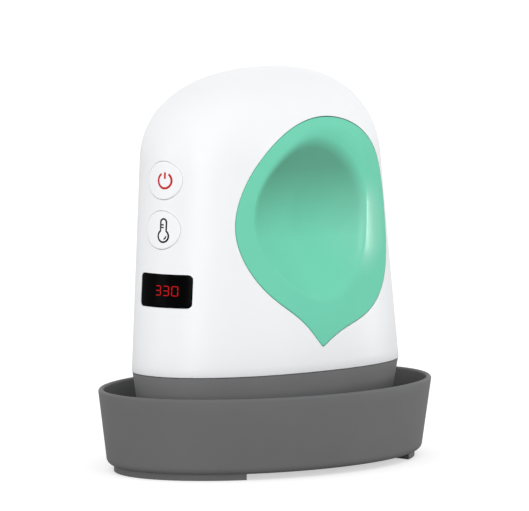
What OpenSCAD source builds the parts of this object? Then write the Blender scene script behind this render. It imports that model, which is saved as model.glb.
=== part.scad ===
// Mini hand heat press standing in its heat-proof tray.
// +X runs to the cord end, -X to the control panel, the grips face -Y and +Y,
// and Z = 0 is the table under the middle of the tray. All sizes are millimetres.

/* [Press body] */
// Length of the body at the seam between shell and skirt
body_l = 112; // [106:1:118]
// Width of the body at the seam
body_w = 55.4; // [54:0.2:58]
// How square the body is in plan, 2 is an ellipse
plan_power = 2.2; // [2:0.05:2.5]
// Height of the seam above the table
seam_z = 32.8; // [32:0.2:35]
// Height where the walls start to round over
shoulder_z = 102; // [99:0.5:105]
// Height of the crown above the table
top_z = 132; // [130:0.5:136]
// How full the crown is, 2 is round
dome_power = 2.3; // [2.1:0.05:2.6]
// Lean of the panel end, per millimetre of height
front_draft = 0.045; // [0.035:0.005:0.06]
// Lean of the cord end, per millimetre of height
back_draft = 0.18; // [0.15:0.01:0.2]
// How far the crown moves towards the cord end
crown_shift = 2.3; // [1:0.1:3.5]
// Wall of the upper shell
shell_wall = 2.4; // [2:0.1:2.8]

/* [Grips] */
// Centre of the teardrop along the body
grip_x = -0.8; // [-2:0.1:1]
// Centre of the teardrop above the table
grip_z = 79.6; // [78:0.1:81]
// Radius of the round part of the teardrop
grip_r = 36.7; // [34:0.1:37.2]
// Length of the point below the round part
grip_tip = 14.8; // [12:0.2:17]
// Angle over which the point fades into the round part
grip_tip_spread = 25; // [20:1:30]
// How far the outline draws in beside the point
grip_waist = 12.3; // [10:0.1:14]
// Angle over which the outline draws in
grip_waist_spread = 47; // [42:1:52]
// How far the lower half bulges towards the cord end
grip_lean = 2.9; // [0:0.1:3.5]
// Turn of the point away from straight down, in degrees
grip_tip_turn = -2.8; // [-5:0.2:0]
// Depth of the finger hollow
hollow_depth = 11; // [8:0.5:12]
// Radius of the finger hollow
hollow_r = 26; // [24:0.5:27]
// Shift of the hollow towards the panel, from the teardrop's centre
hollow_forward = 5.2; // [3:0.2:6]
// Shift of the hollow upwards, from the teardrop's centre
hollow_up = 3.4; // [2:0.2:4.4]
// Roll of the hollow's lip on the panel side, as a depth
hollow_crisp = 0.3; // [0.2:0.05:0.6]
// Roll of the hollow's lip on the opposite side, as a depth
hollow_soft = 2.4; // [1:0.1:2.8]
// Thickness of the grip inlay under the hollow
grip_t = 2.2; // [1.8:0.1:2.6]

/* [Panel] */
// Sideways place of the buttons on the panel end
button_y = -2.6; // [-4:0.1:0]
// Height of the power button
power_z = 96.6; // [95.5:0.1:98]
// Height of the temperature button
temperature_z = 80.5; // [79:0.1:81.5]
// Radius of both buttons
button_r = 6.2; // [5.6:0.1:6.6]
// How far a button stands proud of the shell
button_proud = 0.25; // [0.1:0.05:0.4]
// Travel of a button
button_travel = 0.5; // [0.3:0.05:0.6]
// Sideways place of the display on the panel end
display_y = -3.6; // [-4:0.1:0]
// Height of the middle of the display
display_z = 60.8; // [59:0.1:62]
// Width of the display window, straight across
display_w = 18.4; // [15:0.1:19]
// Height of the display window
display_h = 10.8; // [9:0.1:11.6]
// Corner radius of the display window
display_corner = 1.6; // [1:0.1:2.4]
// Thickness of the display window
window_t = 1.6; // [1.2:0.1:2]

/* [Lower housing] */
// Height of the lower edge of the skirt above the table
skirt_z = 12; // [11:0.2:13]
// Step from the shell to the skirt at the seam
skirt_step = 0.2; // [0.1:0.05:1]
// Lean of the skirt, per millimetre of height
skirt_draft = 0.16; // [0.1:0.01:0.17]
// Wall of the skirt
skirt_wall = 2; // [1.6:0.1:2.4]
// Thickness of the shelf inside the skirt
shelf_t = 3; // [2.6:0.1:3.4]
// Length of the wiring opening in the shelf
wiring_l = 46; // [40:1:50]
// Width of the wiring opening in the shelf
wiring_w = 15; // [14:0.5:16]

/* [Heating stack] */
// How far the plate reaches below the skirt
plate_drop = 3; // [2:0.1:3.4]
// Thickness of the heating plate
plate_t = 5.6; // [5:0.1:6]
// Rounding of the plate's lower edge
plate_edge_r = 1.8; // [1:0.1:2.4]
// Thickness of the heating element
element_t = 1.2; // [0.8:0.1:1.4]
// Thickness of the insulation pad
pad_t = 4; // [3.4:0.1:4.4]
// Thickness of the heat shield
shield_t = 0.8; // [0.6:0.1:1]

/* [Electronics] */
// Free length of a plunger between its button and its switch
plunger_l = 1.4; // [1:0.1:1.8]
// Width of the control board
board_w = 26; // [25:0.5:27]
// Thickness of the control board
board_t = 1.6; // [1.2:0.1:2]
// Side of a push switch
switch_w = 6; // [5.4:0.1:6.4]
// Depth of a push switch
switch_t = 3.2; // [2.8:0.1:3.4]
// Radius of a switch plunger
plunger_r = 1.7; // [1.4:0.1:2]

/* [Cord inlet] */
// Height of the cord inlet
inlet_z = 50; // [48:0.5:54]
// Radius of the bore that the cord passes through
inlet_bore_r = 3.2; // [2.8:0.1:3.6]
// Radius of the neck that passes through the shell
inlet_neck_r = 5; // [4.6:0.1:5.4]
// Radius of the outer collar
inlet_collar_r = 6.4; // [6.2:0.1:7]

/* [Tray] */
// Length of the tray over its rim
tray_l = 134.6; // [131:0.2:139]
// Width of the tray over its rim
tray_w = 84.9; // [82:0.1:90]
// How square the tray is in plan, 2 is an ellipse
tray_power = 2; // [2:0.05:2.4]
// Height of the rim above the table
rim_z = 27; // [25:0.2:29]
// Wall of the tray
tray_wall = 1.8; // [1.6:0.1:2.2]
// How far the wall draws in from the rim to its foot
tray_lean = 3; // [2:0.1:3.4]
// Rounding between the wall and the plinth
tray_corner_r = 2.4; // [2:0.1:2.8]
// Height of the end feet
foot_h = 2; // [1.6:0.1:2.4]
// Height of the plinth band above the feet
plinth_h = 0.2; // [0.1:0.05:0.8]
// Half the gap between the two end feet, along the tray's edge
foot_gap = 41; // [34:1:44]
// Thickness of the tray floor
floor_t = 2.4; // [2:0.1:2.8]
// Thickness of the heat mat on the tray floor
mat_t = 2; // [1.6:0.1:2.2]

/* [Fasteners] */
// Radius of the screws
screw_r = 1.4; // [1.2:0.1:1.5]
// Radius of the screw heads
screw_head_r = 2.7; // [2.4:0.1:2.8]
// Height of the screw heads
screw_head_h = 1.6; // [1.4:0.1:1.8]

/* [Hidden] */

// Clearances
inlay_gap = 0.15;     // round a grip or the window in its opening
button_gap = 0.3;     // round a button, and behind the wall it sits in
slide_gap = 0.2;      // round a plunger in its switch
seat_gap = 0.2;       // under the skirt, where the press stands in the tray
screw_gap = 0.15;     // round a screw
stack_gap = 0.4;      // between the plate and the skirt
overlap = 0.02;       // how far fused pieces reach into each other
tongue_gap = 0.3;     // between the shell's wall and the tongue of the lower housing
tongue_inset = shell_wall + tongue_gap;

// Heights of the stack, from the plate up to the shelf of the lower housing
plate_z = skirt_z - plate_drop;
element_z = plate_z + plate_t;
pad_z = element_z + element_t;
shield_z = pad_z + pad_t;
shelf_z = shield_z + shield_t;
shelf_top = shelf_z + shelf_t;

// Points round each kind of ring
body_points = 48;
tray_points = 56;
grip_points = 46;
round_points = 32;

// ---- plan outlines and skins ------------------------------------------------

function signed_pow(v, p) = sign(v) * pow(abs(v), p);

// A closed plan ring whose two ends may reach differently far.
function plan_ring(front, back, side, middle, z, power, count) =
    [for (i = [0 : count - 1])
        let (c = cos(360 * i / count), s = sin(360 * i / count))
        [middle + (c < 0 ? front : back) * signed_pow(c, 2 / power),
         side * signed_pow(s, 2 / power),
         z]];

function flat_ring(ring) = [for (p = ring) [p[0], p[1]]];

function ring_middle(ring) = [for (k = [0 : 2]) let (v = [for (p = ring) p[k]]) (min(v) + max(v)) / 2];

function side_faces(count, low, high) =
    [for (i = [0 : count - 1], half = [0, 1])
        let (a = low * count + i, b = low * count + (i + 1) % count,
             c = high * count + i, d = high * count + (i + 1) % count)
        half == 0 ? [a, c, b] : [b, c, d]];

// Closed solid over a stack of rings, with a fan of faces at each end.
module skin(rows) {
    count = len(rows[0]);
    last = len(rows) - 1;
    hubs = (last + 1) * count;
    points = concat([for (row = rows) each row], [ring_middle(rows[0]), ring_middle(rows[last])]);
    walls = [for (j = [0 : last - 1]) each side_faces(count, j, j + 1)];
    low_end = [for (i = [0 : count - 1]) [hubs, i, (i + 1) % count]];
    high_end = [for (i = [0 : count - 1]) [hubs + 1, last * count + (i + 1) % count, last * count + i]];
    polyhedron(points, concat(walls, low_end, high_end), convexity = 8);
}

// Closed band whose last ring joins its first one.
module band(rows) {
    count = len(rows[0]);
    total = len(rows);
    points = [for (row = rows) each row];
    polyhedron(points, [for (j = [0 : total - 1]) each side_faces(count, j, (j + 1) % total)], convexity = 8);
}

// ---- body surface -----------------------------------------------------------

function rise(z) = z - seam_z;
function crown_x(z) = crown_shift * rise(z) / (top_z - seam_z);
function swell(z, inset) =
    z <= shoulder_z ? 1
    : pow(max(0, 1 - pow((z - shoulder_z) / (top_z - inset - shoulder_z), dome_power)), 1 / dome_power);
function front_reach(z, inset) = (body_l / 2 - front_draft * rise(z) + crown_x(z) - inset) * swell(z, inset);
function back_reach(z, inset) = (body_l / 2 - back_draft * rise(z) - crown_x(z) - inset) * swell(z, inset);
function side_reach(z, inset) = (body_w / 2 - inset) * swell(z, inset);
function body_ring(z, inset) =
    plan_ring(front_reach(z, inset), back_reach(z, inset), side_reach(z, inset),
              crown_x(z), z, plan_power, body_points);

wall_levels = 2;
dome_angles = [11, 22, 33, 44, 55, 65, 75, 84];
function body_levels(inset) = concat(
    [for (k = [0 : wall_levels]) seam_z + (shoulder_z - seam_z) * k / wall_levels],
    [for (a = dome_angles) shoulder_z + (top_z - inset - shoulder_z) * pow(sin(a), 2 / dome_power)]);
function body_rows(inset) = [for (z = body_levels(inset)) body_ring(z, inset)];
function reversed(rows) = [for (i = [len(rows) - 1 : -1 : 0]) rows[i]];

// Share of its reach that an oval still has at a share of its other reach.
function oval(share) = pow(max(0, 1 - pow(abs(share), plan_power)), 1 / plan_power);

// Half width of the body at a place on its side; inset 0 is the outer face.
function side_y(x, z, inset) =
    let (dx = x - crown_x(z), reach = dx < 0 ? front_reach(z, inset) : back_reach(z, inset))
    side_reach(z, inset) * oval(dx / reach);

// X of the panel end at a place on it; inset 0 is the outer face.
function panel_x(y, z, inset) = crown_x(z) - front_reach(z, inset) * oval(y / side_reach(z, inset));

// ---- grips ------------------------------------------------------------------

// Angles round the teardrop, closer together near its point.
grip_angles = [for (i = [0 : grip_points - 1])
    let (k = 2 * i / grip_points - 1) grip_tip_turn + 180 * signed_pow(k, 1.5)];

// Distance from the teardrop's centre to its outline, with 0 straight down.
function teardrop_r(angle) =
    let (from_tip = abs(angle - grip_tip_turn))
    grip_r
    + (abs(angle) < 90 ? grip_lean * sin(2 * angle) : 0)
    + grip_tip * exp(-from_tip / grip_tip_spread)
    - grip_waist * exp(-pow(angle / grip_waist_spread, 2));

function teardrop(grow) =
    [for (a = grip_angles) let (r = teardrop_r(a) + grow) [grip_x + r * sin(a), grip_z - r * cos(a)]];

// The finger hollow is a bowl. Its lip is crisp on the panel side and rolls over on the other.
soft_side = 35;                                   // direction of the softest lip, up from the cord end
function lip_roll(dx, dz) =
    let (turned = (dx * cos(soft_side) + dz * sin(soft_side)) / max(norm([dx, dz]), 1))
    hollow_crisp + (hollow_soft - hollow_crisp) * pow((1 + turned) / 2, 2);

// Depth of the hollow at a place; within its roll the lip bends from the bowl onto the face.
function hollow(x, z) =
    let (dx = x - grip_x + hollow_forward,
         dz = z - grip_z - hollow_up,
         roll = lip_roll(dx, dz),
         bowl = hollow_depth * (1 - (dx * dx + dz * dz) / (hollow_r * hollow_r)))
    bowl <= -roll ? 0 : bowl >= roll ? bowl : pow(bowl + roll, 2) / (4 * roll);

grip_edge = 0.4;                                 // bevel round the face of a grip
grip_flange = 2.2;                               // reach of the flange behind the wall
grip_flange_t = 1.4;                             // thickness of that flange

// Y of the faces of an inlay at a place on it.
function grip_face_y(x, z) = hollow(x, z) - side_y(x, z, 0);
function grip_wall_y(x, z) = inlay_gap - side_y(x, z, shell_wall);
function grip_back_y(x, z) = max(grip_wall_y(x, z) + grip_flange_t, grip_face_y(x, z) + grip_t);

// One ring of an inlay: its share of the outline, its growth past it, and the face it lies on.
FACE = 0;
BEVEL = 1;
WALL = 2;
BACK = 3;
function grip_row(share, grow, on) =
    [for (a = grip_angles)
        let (r = share * teardrop_r(a) + grow,
             x = grip_x + r * sin(a),
             z = grip_z - r * cos(a),
             y = on == FACE ? grip_face_y(x, z)
                 : on == BEVEL ? grip_face_y(x, z) + grip_edge
                 : on == WALL ? grip_wall_y(x, z)
                 : grip_back_y(x, z))
        [x, y, z]];

grip_back_shares = [0.3, 0.6, 0.82];
grip_front_shares = [0.92, 0.85, 0.78, 0.7, 0.6, 0.47, 0.32, 0.15];

module grip_inlay() {
    skin(concat(
        [for (share = grip_back_shares) grip_row(share, 0, BACK)],
        [grip_row(1, grip_flange, BACK),
         grip_row(1, grip_flange, WALL),
         grip_row(1, 0, WALL),
         grip_row(1, 0, BEVEL),
         grip_row(1, -grip_edge, FACE)],
        [for (share = grip_front_shares) grip_row(share, 0, FACE)]));
}

module grip_opening() {
    rotate([90, 0, 0]) linear_extrude(body_w) polygon(teardrop(inlay_gap));
}

module grip_left() {
    color("#79d6b8") grip_inlay();
}

module grip_right() {
    color("#79d6b8") mirror([0, 1, 0]) grip_inlay();
}

// ---- controls on the panel end ----------------------------------------------

round_angles = [for (i = [0 : round_points - 1]) 360 * i / round_points];

// A ring of radius r about a place on the panel; depth is measured from the body surface.
function button_front_row(z0, r, depth) =
    [for (a = round_angles)
        let (y = button_y - r * cos(a), z = z0 + r * sin(a)) [panel_x(y, z, 0) + depth, y, z]];
function button_flat_row(z0, r, x) =
    [for (a = round_angles) [x, button_y - r * cos(a), z0 + r * sin(a)]];

button_flange = 0.9;                                              // reach past the button's side
button_flange_t = 1;                                              // thickness of the flange
button_edge = 0.3;                                                // rounding of the button's face
// The flat flange clears the inside of the curved wall at its far corner.
flange_corner_y = abs(button_y) + button_r + button_flange;
flange_x = panel_x(flange_corner_y, power_z, shell_wall) + button_gap;
button_back_x = flange_x + button_flange_t;
board_x = -button_back_x - plunger_l - switch_t;                  // front face of the board, from the middle

module button_cap(z0) {
    skin([
        button_flat_row(z0, button_r + button_flange, button_back_x),
        button_flat_row(z0, button_r + button_flange, flange_x),
        button_flat_row(z0, button_r, flange_x),
        button_front_row(z0, button_r, button_edge - button_proud),
        button_front_row(z0, button_r - button_edge, -button_proud),
        button_front_row(z0, button_r * 0.6, -button_proud),
        button_front_row(z0, button_r * 0.25, -button_proud)]);
}

module button_hole(z0) {
    translate([-body_l, button_y, z0]) rotate([0, 90, 0])
        cylinder(h = body_l - board_x, r = button_r + button_gap, $fn = 64);
}

module power_button() {
    color("#f2f4f5") button_cap(power_z);
}

module temperature_button() {
    color("#f2f4f5") button_cap(temperature_z);
}

// Push switches stand on the board; their plungers touch the buttons.
plunger_sunk = button_travel + 0.4;               // part of the plunger inside its switch
switch_x = -board_x - switch_t;                   // front face of a switch

module plunger(z0) {
    translate([button_back_x, button_y, z0]) rotate([0, 90, 0])
        cylinder(h = switch_x + plunger_sunk - button_back_x, r = plunger_r, $fn = 32);
}

module push_switch(z0) {
    difference() {
        translate([switch_x, button_y - switch_w / 2, z0 - switch_w / 2])
            cube([switch_t, switch_w, switch_w]);
        translate([switch_x - 1, button_y, z0]) rotate([0, 90, 0])
            cylinder(h = 1 + plunger_sunk + button_travel + 0.3, r = plunger_r + slide_gap, $fn = 32);
    }
}

module power_plunger() {
    color("#3a3a3c") plunger(power_z);
}

module temperature_plunger() {
    color("#3a3a3c") plunger(temperature_z);
}

module power_switch() {
    color("#55585c") push_switch(power_z);
}

module temperature_switch() {
    color("#55585c") push_switch(temperature_z);
}

// Rounded rectangle as a distance from its middle, so that rings can follow it.
function window_r(angle, grow) =
    let (hw = display_w / 2 + grow, hh = display_h / 2 + grow, c = display_corner + grow,
         ca = abs(cos(angle)), sa = abs(sin(angle)),
         edge = min(hw / max(ca, 0.001), hh / max(sa, 0.001)),
         mx = hw - c, mz = hh - c,
         along = mx * ca + mz * sa,
         arc = along + sqrt(max(0, along * along - mx * mx - mz * mz + c * c)))
    (edge * ca > mx && edge * sa > mz) ? min(edge, arc) : edge;

window_points = 40;
window_angles = [for (i = [0 : window_points - 1]) 360 * i / window_points];
function window_row(share, grow, inset, depth) =
    [for (a = window_angles)
        let (r = share * window_r(a, grow), y = display_y - r * cos(a), z = display_z + r * sin(a))
        [panel_x(y, z, inset) + depth, y, z]];

window_flange = 1.2;                              // reach of the window behind the wall
window_edge = 0.2;                                // bevel round the face of the window

module display_window() {
    color("#101214") skin([
        window_row(0.3, 0, shell_wall, inlay_gap + window_t),
        window_row(0.7, 0, shell_wall, inlay_gap + window_t),
        window_row(1, window_flange, shell_wall, inlay_gap + window_t),
        window_row(1, window_flange, shell_wall, inlay_gap),
        window_row(1, 0, shell_wall, inlay_gap),
        window_row(1, 0, 0, window_edge),
        window_row(1, -window_edge, 0, 0),
        window_row(0.7, 0, 0, 0),
        window_row(0.3, 0, 0, 0)]);
}

module window_opening() {
    translate([-body_l, 0, 0]) rotate([90, 0, 90])
        linear_extrude(body_l - board_x)
            polygon([for (a = window_angles) let (r = window_r(a, inlay_gap))
                [display_y - r * cos(a), display_z + r * sin(a)]]);
}

led_w = 13;                                       // width of the digit block
led_h = 8.6;                                      // height of the digit block
led_t = 3.2;                                      // depth of the digit block

module led_display() {
    color("#26282b") translate([-board_x - led_t, display_y - led_w / 2, display_z - led_h / 2])
        cube([led_t, led_w, led_h]);
}

// ---- control board ----------------------------------------------------------

// The screws pass below the window and above the power button.
board_boss_r = 2.8;                               // bosses of the shell that carry the board
board_edge = 3.4;                                 // from a screw to the board's edge
board_screw_l = 4;                                // part of a board screw inside its boss
board_screw_y = board_w / 2 - board_edge;
low_screw_z = display_z - display_h / 2 - window_flange - board_boss_r - 0.6;
high_screw_z = power_z + button_r + board_boss_r;
board_z = low_screw_z - board_edge;
board_h = high_screw_z + board_edge - board_z;
board_screw_zs = [low_screw_z, high_screw_z];

module board_screw_places() {
    for (side = [-1, 1], z = board_screw_zs)
        translate([-board_x, side * board_screw_y, z]) rotate([0, 90, 0]) children();
}

module control_board() {
    color("#1f6b43") difference() {
        translate([-board_x, -board_w / 2, board_z]) cube([board_t, board_w, board_h]);
        board_screw_places()
            translate([0, 0, -1]) cylinder(h = board_t + 2, r = screw_r + screw_gap, $fn = 32);
    }
}

module board_screws() {
    color("#b9bcc0") board_screw_places() {
        translate([0, 0, board_t]) cylinder(h = screw_head_h, r = screw_head_r, $fn = 32);
        translate([0, 0, -board_screw_l])
            cylinder(h = board_screw_l + board_t + overlap, r = screw_r, $fn = 32);
    }
}

relay_l = 12;                                     // depth of the relay behind the board
relay_w = 15;
relay_h = 19;
relay_z = 60;

module power_relay() {
    color("#2f5fae") translate([-board_x + board_t, -relay_w / 2, relay_z])
        cube([relay_l, relay_w, relay_h]);
}

// ---- cord inlet at the back end ---------------------------------------------

inlet_seat_out = 0.8;                             // how far the flat seat stands out of the shell
inlet_seat_x = crown_x(inlet_z) + back_reach(inlet_z, 0) + inlet_seat_out;
inlet_seat_l = 6;                                 // length of the seat through the wall
inlet_boss_r = inlet_collar_r + 0.8;
inlet_collar_t = 1.8;
inlet_lock_t = 1.6;

module cord_gland() {
    neck_l = inlet_seat_l + 2 * seat_gap;
    color("#3c3d40") translate([inlet_seat_x + seat_gap, 0, inlet_z]) rotate([0, 90, 0])
        rotate_extrude($fn = 64) polygon([
            [inlet_bore_r, -neck_l - inlet_lock_t],
            [inlet_neck_r + 1.2, -neck_l - inlet_lock_t],
            [inlet_neck_r + 1.2, -neck_l],
            [inlet_neck_r, -neck_l],
            [inlet_neck_r, 0],
            [inlet_collar_r, 0],
            [inlet_collar_r, inlet_collar_t * 0.5],
            [inlet_collar_r - inlet_collar_t * 0.5, inlet_collar_t],
            [inlet_bore_r, inlet_collar_t]]);
}

// ---- upper shell ------------------------------------------------------------

// The screw posts stand just inside the tongue of the lower housing.
post_r = 3.2;
post_from_end = 20;                               // from the end of the seam's outline
post_rise = 14;                                   // how far the posts reach above the seam
post_x = body_l / 2 - post_from_end;
post_y = skirt_y(post_x, tongue_inset + skirt_wall + post_r + seat_gap);
post_top = seam_z + post_rise;

module post_places() {
    for (sx = [-1, 1], sy = [-1, 1]) translate([sx * post_x, sy * post_y, 0]) children();
}

// A post stands on the shelf of the lower housing; two webs tie it to the wall.
web_t = 1.6;
web_z = seam_z + 2;
web_h = 10;

module post_web(sx, sy, along, across) {
    hull() {
        translate([sx * post_x, sy * post_y, web_z]) cylinder(h = web_h, r = web_t / 2, $fn = 16);
        translate([sx * (post_x + along), sy * (post_y + across), web_z])
            cylinder(h = web_h, r = web_t / 2, $fn = 16);
    }
}

module shell_posts() {
    post_places() translate([0, 0, shelf_top]) cylinder(h = post_top - shelf_top, r = post_r, $fn = 32);
}

// The webs and the board's bosses run into the wall and end inside it.
module wall_fixings() {
    intersection() {
        union() {
            for (sx = [-1, 1], sy = [-1, 1]) {
                post_web(sx, sy, 0, body_w / 2 - post_y);
                post_web(sx, sy, body_l / 2 - post_x, 0);
            }
            board_screw_places() translate([0, 0, -body_l / 2])
                cylinder(h = body_l / 2, r = board_boss_r, $fn = 32);
        }
        skin(body_rows(shell_wall / 2));
    }
}

module upper_shell() {
    color("#f3f5f6") difference() {
        union() {
            skin(concat(reversed(body_rows(shell_wall)), body_rows(0)));
            translate([inlet_seat_x - inlet_seat_l, 0, inlet_z]) rotate([0, 90, 0])
                cylinder(h = inlet_seat_l, r = inlet_boss_r, $fn = 48);
            shell_posts();
            wall_fixings();
        }
        grip_opening();
        mirror([0, 1, 0]) grip_opening();
        button_hole(power_z);
        button_hole(temperature_z);
        window_opening();
        post_places() translate([0, 0, shelf_top - 1])
            cylinder(h = housing_screw_l + 2, r = screw_r + screw_gap, $fn = 24);
        board_screw_places() translate([0, 0, -board_screw_l - 0.5])
            cylinder(h = board_screw_l + 1, r = screw_r + screw_gap, $fn = 24);
        translate([inlet_seat_x - inlet_seat_l - 1, 0, inlet_z]) rotate([0, 90, 0])
            cylinder(h = inlet_seat_l + 2, r = inlet_neck_r + screw_gap, $fn = 48);
    }
}

// ---- lower housing ----------------------------------------------------------

function skirt_inset(z) = skirt_step + skirt_draft * (seam_z - z);
function skirt_ring(z, inset) =
    plan_ring(body_l / 2 - inset, body_l / 2 - inset, body_w / 2 - inset, 0, z, plan_power, body_points);
skirt_edge_r = 0.6;                               // rounding of the lower edge
seam_rabbet = 0.2;                                // how far the skirt's outer wall stays below the seam

stack_inset = skirt_inset(skirt_z) + skirt_wall + stack_gap;
function stack_ring(z, more) = skirt_ring(z, stack_inset + more);

plate_screw_x = 40;                               // plate screws, from the middle along X
plate_screw_y = 6;                                // and from the middle along Y

module plate_screw_places() {
    for (sx = [-1, 1], sy = [-1, 1]) translate([sx * plate_screw_x, sy * plate_screw_y, 0]) children();
}

// Half width of the skirt at a place along the body, at some inset from the seam's outline.
function skirt_y(x, inset) = (body_w / 2 - inset) * oval(x / (body_l / 2 - inset));

// Gusset between the shelf and the skirt wall.
rib_xs = [-22, -8, 8, 22];
rib_t = 1.4;                                      // thickness of a gusset
rib_h = 5;                                        // height of a gusset at the wall
rib_l = 4;                                        // length of a gusset along the shelf

module shelf_rib(x, side) {
    y = side * skirt_y(x, skirt_inset(shelf_top) + skirt_wall - 0.2);
    hull() {
        translate([x, y, shelf_top + rib_h / 2 - 0.2]) cube([rib_t, 0.6, rib_h], center = true);
        translate([x, y - side * rib_l, shelf_top]) cube([rib_t, 0.6, 0.4], center = true);
    }
}

module lower_housing() {
    color("#6b6c6f") difference() {
        union() {
            band([
                skirt_ring(skirt_z, skirt_inset(skirt_z) + skirt_wall),
                skirt_ring(skirt_z, skirt_inset(skirt_z) + skirt_edge_r),
                skirt_ring(skirt_z + skirt_edge_r, skirt_inset(skirt_z)),
                skirt_ring(seam_z - seam_rabbet, skirt_inset(seam_z - seam_rabbet)),
                skirt_ring(seam_z - seam_rabbet, tongue_inset),
                skirt_ring(seam_z, tongue_inset),
                skirt_ring(seam_z, tongue_inset + skirt_wall),
                skirt_ring(shelf_z, skirt_inset(shelf_z) + skirt_wall)]);
            translate([0, 0, shelf_z]) linear_extrude(shelf_t)
                polygon(flat_ring(skirt_ring(0, skirt_inset(shelf_z) + skirt_wall / 2)));
            for (x = rib_xs, side = [-1, 1]) shelf_rib(x, side);
        }
        translate([-wiring_l / 2, -wiring_w / 2, shelf_z - 1]) cube([wiring_l, wiring_w, shelf_t + 2]);
        post_places() {
            translate([0, 0, shelf_z - 1]) cylinder(h = shelf_t + 2, r = screw_r + screw_gap, $fn = 32);
            translate([0, 0, shelf_z - 1])
                cylinder(h = 1 + screw_head_h, r = screw_head_r + screw_gap, $fn = 32);
        }
        plate_screw_places()
            translate([0, 0, shelf_z - 1]) cylinder(h = shelf_t + 2, r = screw_r + screw_gap, $fn = 32);
    }
}

housing_screw_l = 9;                              // part of a housing screw above the shelf

module housing_screws() {
    color("#b9bcc0") post_places() {
        translate([0, 0, shelf_z]) cylinder(h = screw_head_h, r = screw_head_r, $fn = 32);
        translate([0, 0, shelf_z + screw_head_h - overlap])
            cylinder(h = shelf_t - screw_head_h + housing_screw_l, r = screw_r, $fn = 32);
    }
}

// ---- heating stack ----------------------------------------------------------

module heating_plate() {
    color("#46484b") difference() {
        skin(concat(
            [for (a = [0 : 22.5 : 90])
                stack_ring(plate_z + plate_edge_r * (1 - cos(a)), plate_edge_r * (1 - sin(a)))],
            [stack_ring(plate_z + plate_t, 0)]));
        plate_screw_places()
            translate([0, 0, plate_z + plate_t - plate_thread])
                cylinder(h = plate_thread + 1, r = screw_r + screw_gap, $fn = 32);
    }
}

plate_thread = 3.4;                               // depth of the screw holes in the plate

module stack_sheet(z, thickness, more) {
    difference() {
        translate([0, 0, z]) linear_extrude(thickness) polygon(flat_ring(stack_ring(0, more)));
        plate_screw_places()
            translate([0, 0, z - 1]) cylinder(h = thickness + 2, r = screw_r + screw_gap, $fn = 32);
    }
}

module heating_element() {
    color("#b08a4a") stack_sheet(element_z, element_t, 2);
}

module insulation_pad() {
    color("#e9e4d6") stack_sheet(pad_z, pad_t, 1);
}

module heat_shield() {
    color("#a9adb1") stack_sheet(shield_z, shield_t, 0.5);
}

module plate_screws() {
    bottom = plate_z + plate_t - plate_thread + 0.4;
    color("#b9bcc0") plate_screw_places() {
        translate([0, 0, shelf_top]) cylinder(h = screw_head_h, r = screw_head_r, $fn = 32);
        translate([0, 0, bottom]) cylinder(h = shelf_top - bottom + overlap, r = screw_r, $fn = 32);
    }
}

cutout_x = 11;                                    // thermal cut-out on the shield
cutout_r = 5.6;
cutout_h = 5;

module thermal_cutout() {
    color("#d8d2c4") translate([cutout_x, 0, shelf_z]) {
        cylinder(h = cutout_h, r = cutout_r, $fn = 48);
        translate([0, 0, cutout_h - overlap]) cylinder(h = 1.5, r = cutout_r * 0.55, $fn = 32);
    }
}

sensor_x = -10;                                   // temperature sensor on the shield

module temperature_sensor() {
    color("#c9a15a") translate([sensor_x, 0, shelf_z]) {
        translate([-4, -3, 0]) cube([8, 6, 1]);
        translate([0, 0, 1 - overlap]) cylinder(h = 3, r = 1.8, $fn = 32);
    }
}

// ---- tray -------------------------------------------------------------------

function tray_ring(z, inset) =
    plan_ring(tray_l / 2 - inset, tray_l / 2 - inset, tray_w / 2 - inset, 0, z, tray_power, tray_points);

plinth_inset = tray_lean + tray_corner_r;
wall_foot_z = foot_h + plinth_h + tray_corner_r;  // where the straight wall starts
floor_z = foot_h + floor_t;                       // top of the tray floor
inner_fillet_r = 2.2;
function wall_inset(z) = tray_lean * (rim_z - z) / (rim_z - wall_foot_z);

inner_top_z = rim_z - tray_wall / 2;
inner_foot_z = floor_z + inner_fillet_r;
function inner_inset(z) = wall_inset(max(z, wall_foot_z)) + tray_wall;

tray_rows = concat(
    [tray_ring(foot_h, plinth_inset)],
    [for (a = [0 : 22.5 : 90])
        tray_ring(foot_h + plinth_h + tray_corner_r * (1 - cos(a)), tray_lean + tray_corner_r * (1 - sin(a)))],
    [for (a = [0 : 30 : 180])
        tray_ring(inner_top_z + tray_wall / 2 * sin(a),
                  wall_inset(inner_top_z) + tray_wall / 2 * (1 - cos(a)))],
    [for (a = [90 : -30 : 0])
        tray_ring(inner_foot_z - inner_fillet_r * cos(a),
                  inner_inset(inner_foot_z) + inner_fillet_r * (1 - sin(a)))]);

foot_band = 9;                                    // width of an end foot, along the plinth
foot_step = 0.2;                                  // step from the plinth in to a foot
foot_sunk = 0.5;                                  // part of a foot inside the tray floor

// The gap between the feet widens outwards, so each foot ends square to the tray's edge.
module end_feet() {
    corner_share = foot_gap / (tray_l / 2 - plinth_inset);
    corner_y = (tray_w / 2 - plinth_inset) * pow(1 - pow(corner_share, tray_power), 1 / tray_power);
    past_edge = 2;
    linear_extrude(foot_h + foot_sunk) difference() {
        polygon(flat_ring(tray_ring(0, plinth_inset + foot_step)));
        polygon(flat_ring(tray_ring(0, plinth_inset + foot_band)));
        for (side = [-past_edge, past_edge])
            polygon([[0, 0], [-side * foot_gap, side * corner_y], [side * foot_gap, side * corner_y]]);
    }
}

// Rests that carry the skirt: a foot on the tray floor that narrows to its top.
rest_count = 4;                                   // along each long side
rest_pitch = 18;                                  // between the rests
rest_t = 3;                                       // thickness of a rest along the side
rest_top = skirt_z - seat_gap;
function rest_x(k) = (k - (rest_count - 1) / 2) * rest_pitch;

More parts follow.
